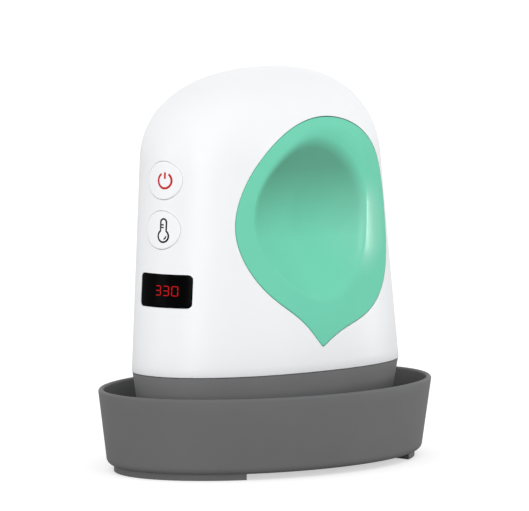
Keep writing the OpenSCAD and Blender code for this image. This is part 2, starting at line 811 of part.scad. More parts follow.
module skirt_rest(x, side) {
    y = side * (skirt_y(x, skirt_inset(skirt_z) + skirt_wall / 2) + 0.6);
    hull() {
        translate([x - rest_t / 2 - 0.6, y - 2.8, floor_z - 0.3]) cube([rest_t + 1.2, 5.6, 0.4]);
        translate([x - rest_t / 2, y - 1.2, rest_top - 0.4]) cube([rest_t, 2.4, 0.4]);
    }
}

module tray() {
    color("#6f7073") union() {
        skin(tray_rows);
        end_feet();
        for (k = [0 : rest_count - 1], side = [-1, 1]) skirt_rest(rest_x(k), side);
    }
}

mat_inset = skirt_inset(skirt_z) + skirt_wall + 4.5;
mat_edge_r = 0.6;

module heat_mat() {
    color("#8d8f92") skin([
        skirt_ring(floor_z, mat_inset),
        skirt_ring(floor_z + mat_t - mat_edge_r, mat_inset),
        skirt_ring(floor_z + mat_t, mat_inset + mat_edge_r)]);
}

// ---- drawing ----------------------------------------------------------------

upper_shell();
grip_left();
grip_right();
power_button();
temperature_button();
power_plunger();
temperature_plunger();
power_switch();
temperature_switch();
display_window();
led_display();
control_board();
board_screws();
power_relay();
cord_gland();
lower_housing();
housing_screws();
heat_shield();
insulation_pad();
heating_element();
heating_plate();
plate_screws();
thermal_cutout();
temperature_sensor();
tray();
heat_mat();
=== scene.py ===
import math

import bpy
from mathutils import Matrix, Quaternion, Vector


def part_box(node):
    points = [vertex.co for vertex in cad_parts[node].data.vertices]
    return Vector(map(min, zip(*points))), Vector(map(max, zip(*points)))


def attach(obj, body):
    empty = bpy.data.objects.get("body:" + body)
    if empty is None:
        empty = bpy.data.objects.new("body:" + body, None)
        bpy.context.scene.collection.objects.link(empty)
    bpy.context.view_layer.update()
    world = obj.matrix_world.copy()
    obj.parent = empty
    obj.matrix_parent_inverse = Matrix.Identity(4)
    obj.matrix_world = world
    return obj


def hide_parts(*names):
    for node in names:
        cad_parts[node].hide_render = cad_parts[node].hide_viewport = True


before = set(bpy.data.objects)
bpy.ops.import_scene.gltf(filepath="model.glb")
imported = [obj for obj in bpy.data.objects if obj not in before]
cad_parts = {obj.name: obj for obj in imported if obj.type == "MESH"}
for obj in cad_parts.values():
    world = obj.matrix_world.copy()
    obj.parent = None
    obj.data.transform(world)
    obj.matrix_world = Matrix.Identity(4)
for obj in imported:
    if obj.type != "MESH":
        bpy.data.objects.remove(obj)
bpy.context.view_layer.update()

# %% [markdown]
# # Mini hand heat press
# A white dome with an oval plan stands in a grey heat-proof tray. A teal teardrop with a
# finger hollow is let into each long side, and the narrow end carries two round keys and a
# small red display. The frame that was just loaded holds every part at its real size. Here
# the parts that show are modelled again with fine surfaces, and everything gets its finish.
# All lengths are metres, +X is the cord end, and Z = 0 is the table.

MM = 0.001
SHELL_LOW, SHELL_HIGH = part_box("upper_shell")
SKIRT_LOW, SKIRT_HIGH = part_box("lower_housing")
TRAY_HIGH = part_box("tray")[1]
BODY_REACH = -SHELL_LOW.x
BODY_SIDE = SHELL_HIGH.y
SEAM_Z = SKIRT_HIGH.z
CROWN_Z = SHELL_HIGH.z
print(f"body {2000 * BODY_REACH:.1f} x {2000 * BODY_SIDE:.1f} mm, crown at {1000 * CROWN_Z:.1f} mm")

# %% [markdown]
# ## The camera
# The photograph was taken with a long lens from the panel end's side, a little above the
# table. A camera could be placed by eye, but then every outline is a little off, so the place
# comes from matching the seam, the tray rim and the dome's outline: it looks from the -X, -Y
# quarter, 47 degrees round from the long side and 5 degrees up.

# %% Camera
IMAGE_W = 529
FOCAL_PX = 5624.4
CAMERA_TURN = math.radians(47)
CAMERA_RISE = math.radians(5.068)
CAMERA_DISTANCE = 1.865467
CAMERA_ROLL = math.radians(0.549)
LOOKED_AT = Vector((0, 0, 70)) * MM  # the distance is measured from here
IMAGE_CENTRE = Vector((-0.898, 0.820, 68.90)) * MM  # and the lens points here

look = Vector((math.sin(CAMERA_TURN) * math.cos(CAMERA_RISE),
               math.cos(CAMERA_TURN) * math.cos(CAMERA_RISE),
               -math.sin(CAMERA_RISE)))
bpy.ops.object.select_all(action="DESELECT")
bpy.ops.object.camera_add(location=LOOKED_AT - look * CAMERA_DISTANCE)
camera = bpy.context.object
camera.name = "photo_camera"
aim = (IMAGE_CENTRE - camera.location).to_track_quat("-Z", "Y")
camera.rotation_mode = "QUATERNION"
camera.rotation_quaternion = aim @ Quaternion((0, 0, 1), CAMERA_ROLL)
camera.data.sensor_width = 36
camera.data.lens = FOCAL_PX / IMAGE_W * camera.data.sensor_width
camera.data.clip_end = 60
bpy.context.scene.camera = camera
print(f"lens {camera.data.lens:.0f} mm at {CAMERA_DISTANCE:.2f} m")

# %% [markdown]
# ## Helpers for modelling
# Most pieces here are walls round a middle: the dome, the skirt, the tray, the inlays and
# the keys. Such a wall can be drawn as one ring of points that is extruded from level to
# level, and each level is then given its own outline. Where the last level meets the first,
# or shrinks to a point, the doubles are merged and the solid is closed.

# %% Walls raised from a ring
MERGE = 2e-6


def select_only(*pieces):
    """Selects these pieces and nothing else, with the first one active."""
    bpy.ops.object.select_all(action="DESELECT")
    for piece in pieces:
        piece.select_set(True)
    bpy.context.view_layer.objects.active = pieces[0]


def turn(start, end, steps):
    """Equal steps from one angle in degrees to another, given back in radians."""
    return [math.radians(start + (end - start) * k / steps) for k in range(steps + 1)]


def merge_and_face_out(piece):
    select_only(piece)
    bpy.ops.object.mode_set(mode="EDIT")
    bpy.ops.mesh.select_all(action="SELECT")
    bpy.ops.mesh.remove_doubles(threshold=MERGE)
    bpy.ops.mesh.normals_make_consistent(inside=False)
    bpy.ops.object.mode_set(mode="OBJECT")


def raise_wall(name, points, levels, place):
    """One ring extruded through the levels; place(angle, level) says where each point goes."""
    bpy.ops.object.select_all(action="DESELECT")
    bpy.ops.mesh.primitive_circle_add(vertices=points, radius=1)
    piece = bpy.context.object
    piece.name = name
    bpy.ops.object.mode_set(mode="EDIT")
    bpy.ops.mesh.select_mode(type="VERT")
    bpy.ops.mesh.select_all(action="SELECT")
    for _ in range(1, levels):
        bpy.ops.mesh.extrude_region_move(TRANSFORM_OT_translate={"value": (0, 0, 1)})
    bpy.ops.object.mode_set(mode="OBJECT")
    for vertex in piece.data.vertices:
        vertex.co = place(math.atan2(vertex.co.y, vertex.co.x), round(vertex.co.z))
    merge_and_face_out(piece)
    return piece


def smooth(piece, degrees=32):
    """Rounds the shading over every edge that bends by less than the angle."""
    select_only(piece)
    bpy.ops.object.shade_smooth_by_angle(angle=math.radians(degrees))
    return piece


def combine(piece, tool, operation):
    """Adds the tool to the piece or cuts it away, and removes the tool."""
    select_only(piece)
    join = piece.modifiers.new("join", "BOOLEAN")
    join.operation = operation
    join.object = tool
    join.solver = "EXACT"
    bpy.ops.object.modifier_apply(modifier=join.name)
    bpy.data.objects.remove(tool)


# %% [markdown]
# ## The shape of the body
# In plan the body is an oval that is a little squarer than an ellipse. The panel end stands
# nearly upright, the cord end leans in, and above the shoulder both run into one crown. One
# function gives the outline at each height, so the shell, the inlays, the keys and the
# window all share it and lie flush.

# %% Body surface
PLAN_POWER = 2.2
SHOULDER_Z = 102 * MM
DOME_POWER = 2.3
PANEL_LEAN = 0.045
CORD_LEAN = 0.18
CROWN_SHIFT = 2.3 * MM
SHELL_WALL = 2.4 * MM


def signed_power(value, power):
    return math.copysign(abs(value) ** power, value)


def oval_point(angle, front, back, side, middle, z, power):
    """A point on an oval that may reach further at one end than at the other."""
    c, s = math.cos(angle), math.sin(angle)
    reach = front if c < 0 else back
    return Vector((middle + reach * signed_power(c, 2 / power), side * signed_power(s, 2 / power), z))


def oval(share):
    """Share of its reach that the plan still has at a share of its other reach."""
    return max(0.0, 1 - abs(share) ** PLAN_POWER) ** (1 / PLAN_POWER)


def crown_x(z):
    return CROWN_SHIFT * (z - SEAM_Z) / (CROWN_Z - SEAM_Z)


def swell(z, inset):
    """Share of its full width that the body has at a height, less than 1 above the shoulder."""
    if z <= SHOULDER_Z:
        return 1.0
    share = (z - SHOULDER_Z) / (CROWN_Z - inset - SHOULDER_Z)
    return max(0.0, 1 - share ** DOME_POWER) ** (1 / DOME_POWER)


def front_reach(z, inset=0.0):
    return (BODY_REACH - PANEL_LEAN * (z - SEAM_Z) + crown_x(z) - inset) * swell(z, inset)


def back_reach(z, inset=0.0):
    return (BODY_REACH - CORD_LEAN * (z - SEAM_Z) - crown_x(z) - inset) * swell(z, inset)


def side_reach(z, inset=0.0):
    return (BODY_SIDE - inset) * swell(z, inset)


def body_point(angle, z, inset):
    return oval_point(angle, front_reach(z, inset), back_reach(z, inset), side_reach(z, inset),
                      crown_x(z), z, PLAN_POWER)


def side_y(x, z, inset=0.0):
    """Half width of the body at a place on its long side."""
    off = x - crown_x(z)
    reach = front_reach(z, inset) if off < 0 else back_reach(z, inset)
    return side_reach(z, inset) * oval(off / reach)


def panel_x(y, z, inset=0.0):
    """X of the panel end at a place on it."""
    return crown_x(z) - front_reach(z, inset) * oval(y / side_reach(z, inset))


print(f"panel end leans {math.degrees(math.atan(PANEL_LEAN)):.1f} degrees")

# %% [markdown]
# ## The upper shell
# The real shell is one moulding with a wall of about 2.4 mm. It could be a subdivided box,
# but the inlays and keys have to lie flush in it, so its levels follow the body's own
# surface: up the inside from the crown to the seam, and up the outside back to the crown.

# %% Upper shell, whole
SHELL_POINTS = 176
WALL_LEVELS = 26
DOME_STEP = 3
INSIDE_STEP = 15
SEAM_ROUND = 0.3 * MM
ROUND_MIDDLE = 0.3


def dome_z(degrees, inset):
    rise = math.sin(math.radians(degrees)) ** (2 / DOME_POWER)
    return SHOULDER_Z + (CROWN_Z - inset - SHOULDER_Z) * rise


inside = [(dome_z(a, SHELL_WALL), SHELL_WALL) for a in range(90, -1, -INSIDE_STEP)]
inside += [(SEAM_Z, SHELL_WALL)]
outside = [(SEAM_Z, SEAM_ROUND),
           (SEAM_Z + SEAM_ROUND * ROUND_MIDDLE, SEAM_ROUND * ROUND_MIDDLE)]
outside += [(SEAM_Z + SEAM_ROUND + (SHOULDER_Z - SEAM_Z - SEAM_ROUND) * k / WALL_LEVELS, 0.0)
            for k in range(WALL_LEVELS)]
outside += [(dome_z(a, 0.0), 0.0) for a in range(0, 91, DOME_STEP)]
shell_levels = inside + outside


def shell_place(angle, level):
    z, inset = shell_levels[level]
    return body_point(angle, z, inset)


shell = raise_wall("shell", SHELL_POINTS, len(shell_levels), shell_place)
print(f"shell: {len(shell_levels)} levels, {len(shell.data.polygons)} faces")

# %% [markdown]
# ## The openings in the shell
# The inlays, the keys and the window each sit in an opening of their own outline with a
# hairline gap. Such an outline could be traced as a curve, but a formula for its distance
# from the middle gives the opening and the piece in it from the same values, so the gap is
# even. A cutter with that outline is extruded through the wall and taken away. It has four
# levels: its middle and its outline on one side of the wall, then both on the other.
# The teardrop is a circle that is drawn in towards its lower half and ends in a tip.

# %% Teardrop outline
GRIP_X = -0.8 * MM
GRIP_Z = 79.6 * MM
GRIP_R = 36.7 * MM
GRIP_TIP = 14.8 * MM
TIP_SPREAD = 25
TIP_ROUND = 0.8
TIP_TURN = -2.8
GRIP_WAIST = 12.3 * MM
WAIST_SPREAD = 47
GRIP_LEAN = 2.9 * MM
LEAN_FADE = 8
GRIP_GAP = 0.32 * MM
GRIP_POINTS = 240
POINT_CROWDING = 1.5
CUTTER_LEVELS = 4
GRIP_CUT_IN = 6 * MM
GRIP_CUT_OUT = 40 * MM


def teardrop_r(degrees):
    """Distance from the middle of the inlay to its outline, with 0 straight down."""
    fade = 1 + math.exp((abs(degrees) - 90) / LEAN_FADE)
    lean = GRIP_LEAN * math.sin(math.radians(2 * degrees)) / fade
    tip = GRIP_TIP * math.exp(-math.hypot(degrees - TIP_TURN, TIP_ROUND) / TIP_SPREAD)
    waist = GRIP_WAIST * math.exp(-((degrees / WAIST_SPREAD) ** 2))
    return GRIP_R + lean + tip - waist


def teardrop_angle(angle):
    """The ring's points crowd towards the tip, where the outline turns fastest."""
    return TIP_TURN + 180 * signed_power(angle / math.pi, POINT_CROWDING)


def teardrop_xz(angle, share, grow=0.0):
    """Place in the side view at a share of the way to the outline, and grow beyond it."""
    degrees = teardrop_angle(angle)
    r = share * teardrop_r(degrees) + grow
    return GRIP_X + r * math.sin(math.radians(degrees)), GRIP_Z - r * math.cos(math.radians(degrees))


def grip_cutter_place(side):
    def place(angle, level):
        share, grow = (1.0, GRIP_GAP) if level in (1, 2) else (0.0, 0.0)
        x, z = teardrop_xz(angle, share, grow)
        return Vector((x, side * (GRIP_CUT_IN if level < 2 else GRIP_CUT_OUT), z))
    return place


print(f"teardrop {1000 * (teardrop_r(0) + teardrop_r(180)):.1f} mm high")

# %% Round and rounded outlines on the panel end
KEY_Y = -2.6 * MM
POWER_Z = 96.6 * MM
TEMPERATURE_Z = 80.5 * MM
KEY_HALF_W = 6.6 * MM
KEY_HALF_H = 6.2 * MM
KEY_GAP = 0.16 * MM
DISPLAY_Y = -3.5 * MM
DISPLAY_Z = 60.8 * MM
DISPLAY_W = 18.9 * MM
DISPLAY_H = 10.8 * MM
DISPLAY_CORNER = 1.4 * MM
WINDOW_GAP = 0.1 * MM
KEY_POINTS = 96
WINDOW_POINTS = 160
PANEL_CUT_IN = 40 * MM
PANEL_CUT_OUT = 70 * MM


def key_r(angle, grow=0.0):
    """Distance from a key's middle to its outline, which is a little wider than high."""
    half_w, half_h = KEY_HALF_W + grow, KEY_HALF_H + grow
    return half_w * half_h / math.hypot(half_h * math.cos(angle), half_w * math.sin(angle))


def window_r(angle, grow=0.0):
    """Distance from the window's middle to its rounded outline."""
    half_w, half_h, corner = DISPLAY_W / 2 + grow, DISPLAY_H / 2 + grow, DISPLAY_CORNER + grow
    c, s = abs(math.cos(angle)), abs(math.sin(angle))
    edge = min(half_w / max(c, 1e-6), half_h / max(s, 1e-6))
    mid_w, mid_h = half_w - corner, half_h - corner
    if edge * c > mid_w and edge * s > mid_h:
        along = mid_w * c + mid_h * s
        to_arc = along ** 2 - mid_w ** 2 - mid_h ** 2 + corner ** 2
        edge = min(edge, along + math.sqrt(max(0.0, to_arc)))
    return edge


def panel_cutter_place(radius, middle_y, middle_z):
    def place(angle, level):
        r = radius(angle) if level in (1, 2) else 0.0
        x = -PANEL_CUT_OUT if level < 2 else -PANEL_CUT_IN
        return Vector((x, middle_y - r * math.cos(angle), middle_z + r * math.sin(angle)))
    return place


print(f"keys {2000 * KEY_HALF_W:.1f} x {2000 * KEY_HALF_H:.1f} mm")

# %% Cutting the openings
for side in (-1, 1):
    grip_cutter = raise_wall("grip_cutter", GRIP_POINTS, CUTTER_LEVELS, grip_cutter_place(side))
    combine(shell, grip_cutter, "DIFFERENCE")
for middle in (POWER_Z, TEMPERATURE_Z):
    key_place = panel_cutter_place(lambda a: key_r(a, KEY_GAP), KEY_Y, middle)
    combine(shell, raise_wall("key_cutter", KEY_POINTS, CUTTER_LEVELS, key_place), "DIFFERENCE")
window_place = panel_cutter_place(lambda a: window_r(a, WINDOW_GAP), DISPLAY_Y, DISPLAY_Z)
window_cutter = raise_wall("window_cutter", WINDOW_POINTS, CUTTER_LEVELS, window_place)
combine(shell, window_cutter, "DIFFERENCE")
print(f"shell after cutting: {len(shell.data.polygons)} faces")

# %% [markdown]
# ## The seat of the cord inlet
# At the cord end the wall slopes, so the moulding has a small flat seat for the inlet. It
# could be pulled out of the wall's own faces, but those follow the dome and not a circle, so
# a short cylinder is fused to the shell with a boolean, and a thinner one drills it.

# %% Inlet seat
GLAND_LOW, GLAND_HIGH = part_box("cord_gland")
INLET_Z = (GLAND_LOW.z + GLAND_HIGH.z) / 2
COLLAR_R = (GLAND_HIGH.z - GLAND_LOW.z) / 2
COLLAR_T = 1.8 * MM
COLLAR_GAP = 0.2 * MM
SEAT_X = GLAND_HIGH.x - COLLAR_T - COLLAR_GAP
SEAT_L = 6 * MM
SEAT_R = COLLAR_R + 0.8 * MM
SEAT_BORE_R = 5.15 * MM
DRILL_PAST = 2 * MM
ROUND_POINTS = 96


def round_tool(name, radius, length):
    """A cylinder along X, with its middle half way through the seat."""
    bpy.ops.object.select_all(action="DESELECT")
    middle = (SEAT_X - SEAT_L / 2, 0, INLET_Z)
    bpy.ops.mesh.primitive_cylinder_add(vertices=ROUND_POINTS, radius=radius, depth=length,
                                        location=middle, rotation=(0, math.pi / 2, 0))
    tool = bpy.context.object
    tool.name = name
    bpy.ops.object.transform_apply(location=True, rotation=True, scale=True)
    return tool


combine(shell, round_tool("seat", SEAT_R, SEAT_L), "UNION")
combine(shell, round_tool("bore", SEAT_BORE_R, SEAT_L + DRILL_PAST), "DIFFERENCE")
smooth(shell)
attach(shell, "press")
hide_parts("upper_shell")
print(f"seat at x {1000 * SEAT_X:.1f} mm, {len(shell.data.polygons)} faces")

# %% [markdown]
# ## The grip inlays
# Each inlay is a teardrop that follows the body's side, with a finger hollow pressed into it.
# It could be sculpted, but here every height comes from a formula, so both sides match and the
# face stays flush with the shell. The ring of the teardrop is extruded from behind the wall
# out to the face, over a small rounded edge, and in towards the middle, where each point sinks
# by the hollow's depth. The hollow is a bowl with a slightly egg-shaped outline. Its lip is
# crisp on the panel side and rolls over softly on the other, so the thumb finds an edge and
# the palm doesn't.

# %% Finger hollow
HOLLOW_DEPTH = 11 * MM
HOLLOW_R = 25.7 * MM
HOLLOW_OVAL = 1.3 * MM
HOLLOW_EGG = 1.5 * MM
HOLLOW_FORWARD = 5.1 * MM
HOLLOW_UP = 4.5 * MM
CRISP_ROLL = 0.1 * MM
SOFT_ROLL = 3.8 * MM
SOFT_SIDE = math.radians(20)
LIP_BIAS = 1.3
HAIR_GAP = 0.15 * MM
GRIP_T = 2.2 * MM
GRIP_ROUND = 0.25 * MM
FLANGE_REACH = 2.2 * MM
FLANGE_T = 1.4 * MM
FACE_RINGS = 64
FACE_SHARE = 0.985
BACK_SHARES = (0.0, 0.2, 0.4, 0.6, 0.75, 0.9)


def lip_roll(dx, dz):
    """Depth over which the lip bends, largest in the direction of the soft side."""
    turned = (dx * math.cos(SOFT_SIDE) + dz * math.sin(SOFT_SIDE)) / max(math.hypot(dx, dz), MM)
    return CRISP_ROLL + (SOFT_ROLL - CRISP_ROLL) * ((1 + turned) / 2) ** LIP_BIAS


def hollow(x, z):
    """Depth of the finger hollow at a place on the inlay."""
    dx, dz = x - GRIP_X + HOLLOW_FORWARD, z - GRIP_Z - HOLLOW_UP
    roll = lip_roll(dx, dz)
    turned = math.atan2(dz, dx)
    edge = HOLLOW_R - HOLLOW_OVAL * math.cos(2 * turned) - HOLLOW_EGG * math.cos(3 * turned)
    bowl = HOLLOW_DEPTH * (1 - (dx * dx + dz * dz) / edge ** 2)
    if bowl <= -roll:
        return 0.0
    return bowl if bowl >= roll else (bowl + roll) ** 2 / (4 * roll)


def face_out(x, z):
    """How far out the inlay's face lies, as wall_out and back_out do for what is behind it."""
    return side_y(x, z) - hollow(x, z)


def wall_out(x, z):
    return side_y(x, z, SHELL_WALL) - HAIR_GAP


def back_out(x, z):
    return min(wall_out(x, z) - FLANGE_T, face_out(x, z) - GRIP_T)


print(f"hollow {1000 * HOLLOW_DEPTH:.0f} mm deep, about {2000 * HOLLOW_R:.0f} mm across")

# %% Inlays
# A level holds the share of the outline, its growth, the surface that it lies on and how far
# it is sunk below that surface.
grip_levels = [(share, 0.0, back_out, 0.0) for share in BACK_SHARES]
grip_levels += [(1.0, FLANGE_REACH, back_out, 0.0), (1.0, FLANGE_REACH, wall_out, 0.0)]
grip_levels += [(1.0, 0.0, wall_out, 0.0)]
grip_levels += [(1.0, -GRIP_ROUND * (1 - math.cos(a)), face_out, GRIP_ROUND * (1 - math.sin(a)))
                for a in turn(0, 90, 3)]
grip_levels += [(FACE_SHARE * (1 - k / FACE_RINGS), 0.0, face_out, 0.0) for k in range(FACE_RINGS + 1)]


def grip_place(side):
    def place(angle, level):
        share, grow, surface, sunk = grip_levels[level]
        x, z = teardrop_xz(angle, share, grow)
        return Vector((x, side * (surface(x, z) - sunk), z))
    return place


grips = {}
for side, node in ((-1, "grip_left"), (1, "grip_right")):
    inlay = raise_wall(node + "_inlay", GRIP_POINTS, len(grip_levels), grip_place(side))
    grips[node] = smooth(inlay)
    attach(grips[node], "press")
    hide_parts(node)
print(f"each inlay has {len(grips['grip_left'].data.polygons)} faces")

# %% [markdown]
# ## The keys and the window
# Both keys are flat caps, a little wider than high, whose faces follow the panel end and
# stand a hair proud of it, with a flange behind the wall that keeps them in. A cylinder would
# be flat where the panel is curved, so they are raised level by level from their outline. The
# window is made the same way with a rounded oblong outline, and lies flush.

# %% Keys
KEY_PROUD = 0.25 * MM
KEY_ROUND = 0.3 * MM
KEY_FLANGE = 0.9 * MM
KEY_FLANGE_T = 1.0 * MM
KEY_CLEARANCE = 0.3 * MM
FACE_SHARES = (0.9, 0.75, 0.6, 0.45, 0.3, 0.15, 0)


def panel_piece(name, points, rows, radius, middle_y, middle_z):
    """Rows hold the share of the outline, its growth, the surface's inset and a depth past it."""
    def place(angle, level):
        share, grow, inset, depth = rows[level]
        r = share * radius(angle) + grow * (share > 0)
        y, z = middle_y - r * math.cos(angle), middle_z + r * math.sin(angle)
        return Vector((panel_x(y, z, inset) + depth, y, z))
    return smooth(raise_wall(name, points, len(rows), place))


key_back = KEY_CLEARANCE + KEY_FLANGE_T
key_rows = [(0, 0, SHELL_WALL, key_back), (0.5, 0, SHELL_WALL, key_back),
            (1, KEY_FLANGE, SHELL_WALL, key_back), (1, KEY_FLANGE, SHELL_WALL, KEY_CLEARANCE),
            (1, 0, SHELL_WALL, KEY_CLEARANCE)]
key_rows += [(1, -KEY_ROUND * (1 - math.cos(a)), 0, KEY_ROUND * (1 - math.sin(a)) - KEY_PROUD)
             for a in turn(0, 90, 3)]
key_rows += [(share, 0, 0, -KEY_PROUD) for share in FACE_SHARES]
keys = {}
for node, body, middle in (("power_button", "power_key", POWER_Z),
                           ("temperature_button", "temperature_key", TEMPERATURE_Z)):
    keys[node] = panel_piece(node + "_cap", KEY_POINTS, key_rows, key_r, KEY_Y, middle)
    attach(keys[node], body)
    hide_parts(node)
print(f"each key has {len(keys['power_button'].data.polygons)} faces")

# %% Display window
WINDOW_T = 1.6 * MM
WINDOW_FLANGE = 1.2 * MM
WINDOW_ROUND = 0.2 * MM
window_back = HAIR_GAP + WINDOW_T
window_rows = [(0, 0, SHELL_WALL, window_back), (0.5, 0, SHELL_WALL, window_back),
               (1, WINDOW_FLANGE, SHELL_WALL, window_back), (1, WINDOW_FLANGE, SHELL_WALL, HAIR_GAP),
               (1, 0, SHELL_WALL, HAIR_GAP)]
window_rows += [(1, -WINDOW_ROUND * (1 - math.cos(a)), 0, WINDOW_ROUND * (1 - math.sin(a)))
                for a in turn(0, 90, 2)]
window_rows += [(share, 0, 0, 0) for share in FACE_SHARES]
window = panel_piece("window", WINDOW_POINTS, window_rows, window_r, DISPLAY_Y, DISPLAY_Z)
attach(window, "press")
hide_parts("display_window")
print(f"window {1000 * DISPLAY_W:.1f} x {1000 * DISPLAY_H:.1f} mm, {len(window.data.polygons)} faces")

# %% [markdown]
# ## The signs on the panel
# The keys carry a printed standby sign and a printed thermometer. They could be an image, but
# a shape stays sharp from close by and stays part of the piece. Each printed line is a thin
# curve that is made a mesh, pressed flat and laid on the curved panel, as screen ink lies on
# plastic.

# %% Printed lines
INK_T = 0.05 * MM
INK_W = 0.76 * MM
OUTLINE_W = 0.62 * MM


def arc(middle_y, middle_z, radius, start, end, steps=24):
    """Points on a circle in the panel's plane; angles in degrees, 0 to the right and 90 up."""
    return [(middle_y - radius * math.cos(a), middle_z + radius * math.sin(a))
            for a in turn(start, end, steps)]


def lay_on_panel(piece, proud):
    """Moves each point of a flat piece out to the panel's surface, and proud of it."""
    for vertex in piece.data.vertices:
        vertex.co.x += panel_x(vertex.co.y, vertex.co.z) - proud


def ink_line(name, points, width, closed=False):
    curve = bpy.data.curves.new(name, "CURVE")
    curve.dimensions = "3D"
    line = curve.splines.new("POLY")
    line.points.add(len(points) - 1)
    for knot, (y, z) in zip(line.points, points):
        knot.co = (0, y, z, 1)
    line.use_cyclic_u = closed
    curve.bevel_depth = width / 2
    curve.bevel_resolution = 3
    curve.use_fill_caps = True
    drawn = bpy.data.objects.new(name, curve)
    bpy.context.scene.collection.objects.link(drawn)
    select_only(drawn)
    bpy.ops.object.convert(target="MESH")
    inked = bpy.context.object
    for vertex in inked.data.vertices:
        vertex.co.x *= 2 * INK_T / width
    lay_on_panel(inked, KEY_PROUD)
    return smooth(inked, 60)


print(f"ink {INK_T / MM:.2f} mm thick on a key {KEY_PROUD / MM:.2f} mm proud")

# %% Standby sign and thermometer
POWER_SIGN_Y = -3.4 * MM
HEAT_SIGN_Y = -3.6 * MM
SIGN_R = 2.5 * MM
SIGN_GAP = 32
STEM = 2.1 * MM
STEM_PAST = 0.2 * MM
BULB_R = 1.95 * MM
TUBE_R = 1.08 * MM
TUBE_TOP = 3.7 * MM
BULB_DROP = 1.9 * MM
TICK_W = 0.5 * MM
TICK_HEIGHTS = (1.75 * MM, 0.9 * MM)
TICK_END = 0.1 * MM
GLINT_R = 1.0 * MM
neck = math.degrees(math.acos(TUBE_R / BULB_R))
bulb_z = TEMPERATURE_Z - BULB_DROP
tube_z = TEMPERATURE_Z + TUBE_TOP - TUBE_R
bulb = arc(HEAT_SIGN_Y, bulb_z, BULB_R, 180 - neck, 360 + neck, 40)
tube = arc(HEAT_SIGN_Y, tube_z, TUBE_R, 0, 180, 16)
stem_top = POWER_Z + SIGN_R + STEM_PAST
standby_arc = arc(POWER_SIGN_Y, POWER_Z, SIGN_R, 90 + SIGN_GAP, 450 - SIGN_GAP, 48)
standby_stem = [(POWER_SIGN_Y, stem_top), (POWER_SIGN_Y, stem_top - STEM)]
glint = arc(HEAT_SIGN_Y, bulb_z, GLINT_R, -75, 5, 12)
power_lines = [ink_line("standby_ring", standby_arc, INK_W),
               ink_line("standby_stem", standby_stem, INK_W)]
heat_lines = [ink_line("thermometer_outline", bulb + tube, OUTLINE_W, closed=True),
              ink_line("thermometer_glint", glint, TICK_W)]
for k, z in enumerate(TICK_HEIGHTS):
    tick = [(HEAT_SIGN_Y + TUBE_R, TEMPERATURE_Z + z), (HEAT_SIGN_Y - TICK_END, TEMPERATURE_Z + z)]
    heat_lines.append(ink_line(f"thermometer_tick_{k + 1}", tick, TICK_W))
for lines, body in ((power_lines, "power_key"), (heat_lines, "temperature_key")):
    for line in lines:
        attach(line, body)
print(f"{len(power_lines)} lines in the standby sign, {len(heat_lines)} in the thermometer")

# %% [markdown]
# ## The red digits
# Three digits glow behind the window. On the real display each is made of seven bars that are
# lit one by one, so the bars are modelled and not the numerals. A bar is a flat box whose end
# faces are extruded and drawn to a point, and the lit bars of a digit are joined.

# %% Red digits
DIGIT_W = 2.1 * MM
DIGIT_H = 3.25 * MM
DIGIT_PITCH = 2.92 * MM
SEGMENT_T = 0.23 * MM
SEGMENT_GAP = 0.08 * MM
LIT = {"3": "abcdg", "0": "abcdef"}
DIGITS_Y = DISPLAY_Y - 1.75 * MM
DIGITS_Z = DISPLAY_Z + 0.1 * MM
POINT_L = 0.45
POINT_W = 0.15


def segment_ends(name):
    """Both ends of one of the seven bars, lettered a to f round the digit, with g across."""
    half_w, half_h = (DIGIT_W - SEGMENT_T) / 2, (DIGIT_H - SEGMENT_T) / 2
    corners = {"a": ((-1, 1), (1, 1)), "b": ((1, 1), (1, 0)), "c": ((1, 0), (1, -1)),
               "d": ((-1, -1), (1, -1)), "e": ((-1, 0), (-1, -1)), "f": ((-1, 1), (-1, 0)),
               "g": ((-1, 0), (1, 0))}
    return [Vector((0, -u * half_w, w * half_h)) for u, w in corners[name]]


def segment(name, middle_y, letter):
    """A bar with pointed ends: a flat box whose end faces are extruded and drawn to a point."""
    a, b = segment_ends(letter)
    along = (b - a).normalized()
    upright = abs(along.z) > 0.5
    long = (b - a).length - 2 * SEGMENT_GAP - SEGMENT_T
    size = Vector((2 * INK_T, SEGMENT_T if upright else long, long if upright else SEGMENT_T))
    bpy.ops.object.select_all(action="DESELECT")
    middle = (a + b) / 2 + Vector((0, middle_y, DIGITS_Z))
    bpy.ops.mesh.primitive_cube_add(size=1, location=middle, scale=size)
    bar = bpy.context.object
    bar.name = name
    bpy.ops.object.transform_apply(location=True, rotation=True, scale=True)
    for end in (-1, 1):
        bpy.ops.object.mode_set(mode="EDIT")
        bpy.ops.mesh.select_mode(type="FACE")
        bpy.ops.mesh.select_all(action="DESELECT")
        bpy.ops.object.mode_set(mode="OBJECT")
        for face in bar.data.polygons:
            face.select = face.normal.dot(along * end) > 0.9
        bpy.ops.object.mode_set(mode="EDIT")
        push = along * end * SEGMENT_T * POINT_L
        bpy.ops.mesh.extrude_region_move(TRANSFORM_OT_translate={"value": push})
        bpy.ops.transform.resize(value=(1, POINT_W, 1) if upright else (1, 1, POINT_W))
        bpy.ops.object.mode_set(mode="OBJECT")
    return bar


digits = []
for place, shown in enumerate("330"):
    middle_y = DIGITS_Y + (1 - place) * DIGIT_PITCH
    bars = [segment(f"digit_{place + 1}", middle_y, letter) for letter in LIT[shown]]
    select_only(*bars)
    bpy.ops.object.join()
    lay_on_panel(bars[0], 0)
    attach(bars[0], "press")
    digits.append(bars[0])
print(f"{len(digits)} digits")

# %% [markdown]
# ## The skirt
# The lower housing closes the body and carries the heating plate. Only its skirt shows: a
# grey band that starts a hair inside the shell's edge and draws in towards the plate, so the
# seam reads as one thin shadow line. Scaling the shell's outline would thin the band at its
# sides, so each level is inset by an even amount instead.

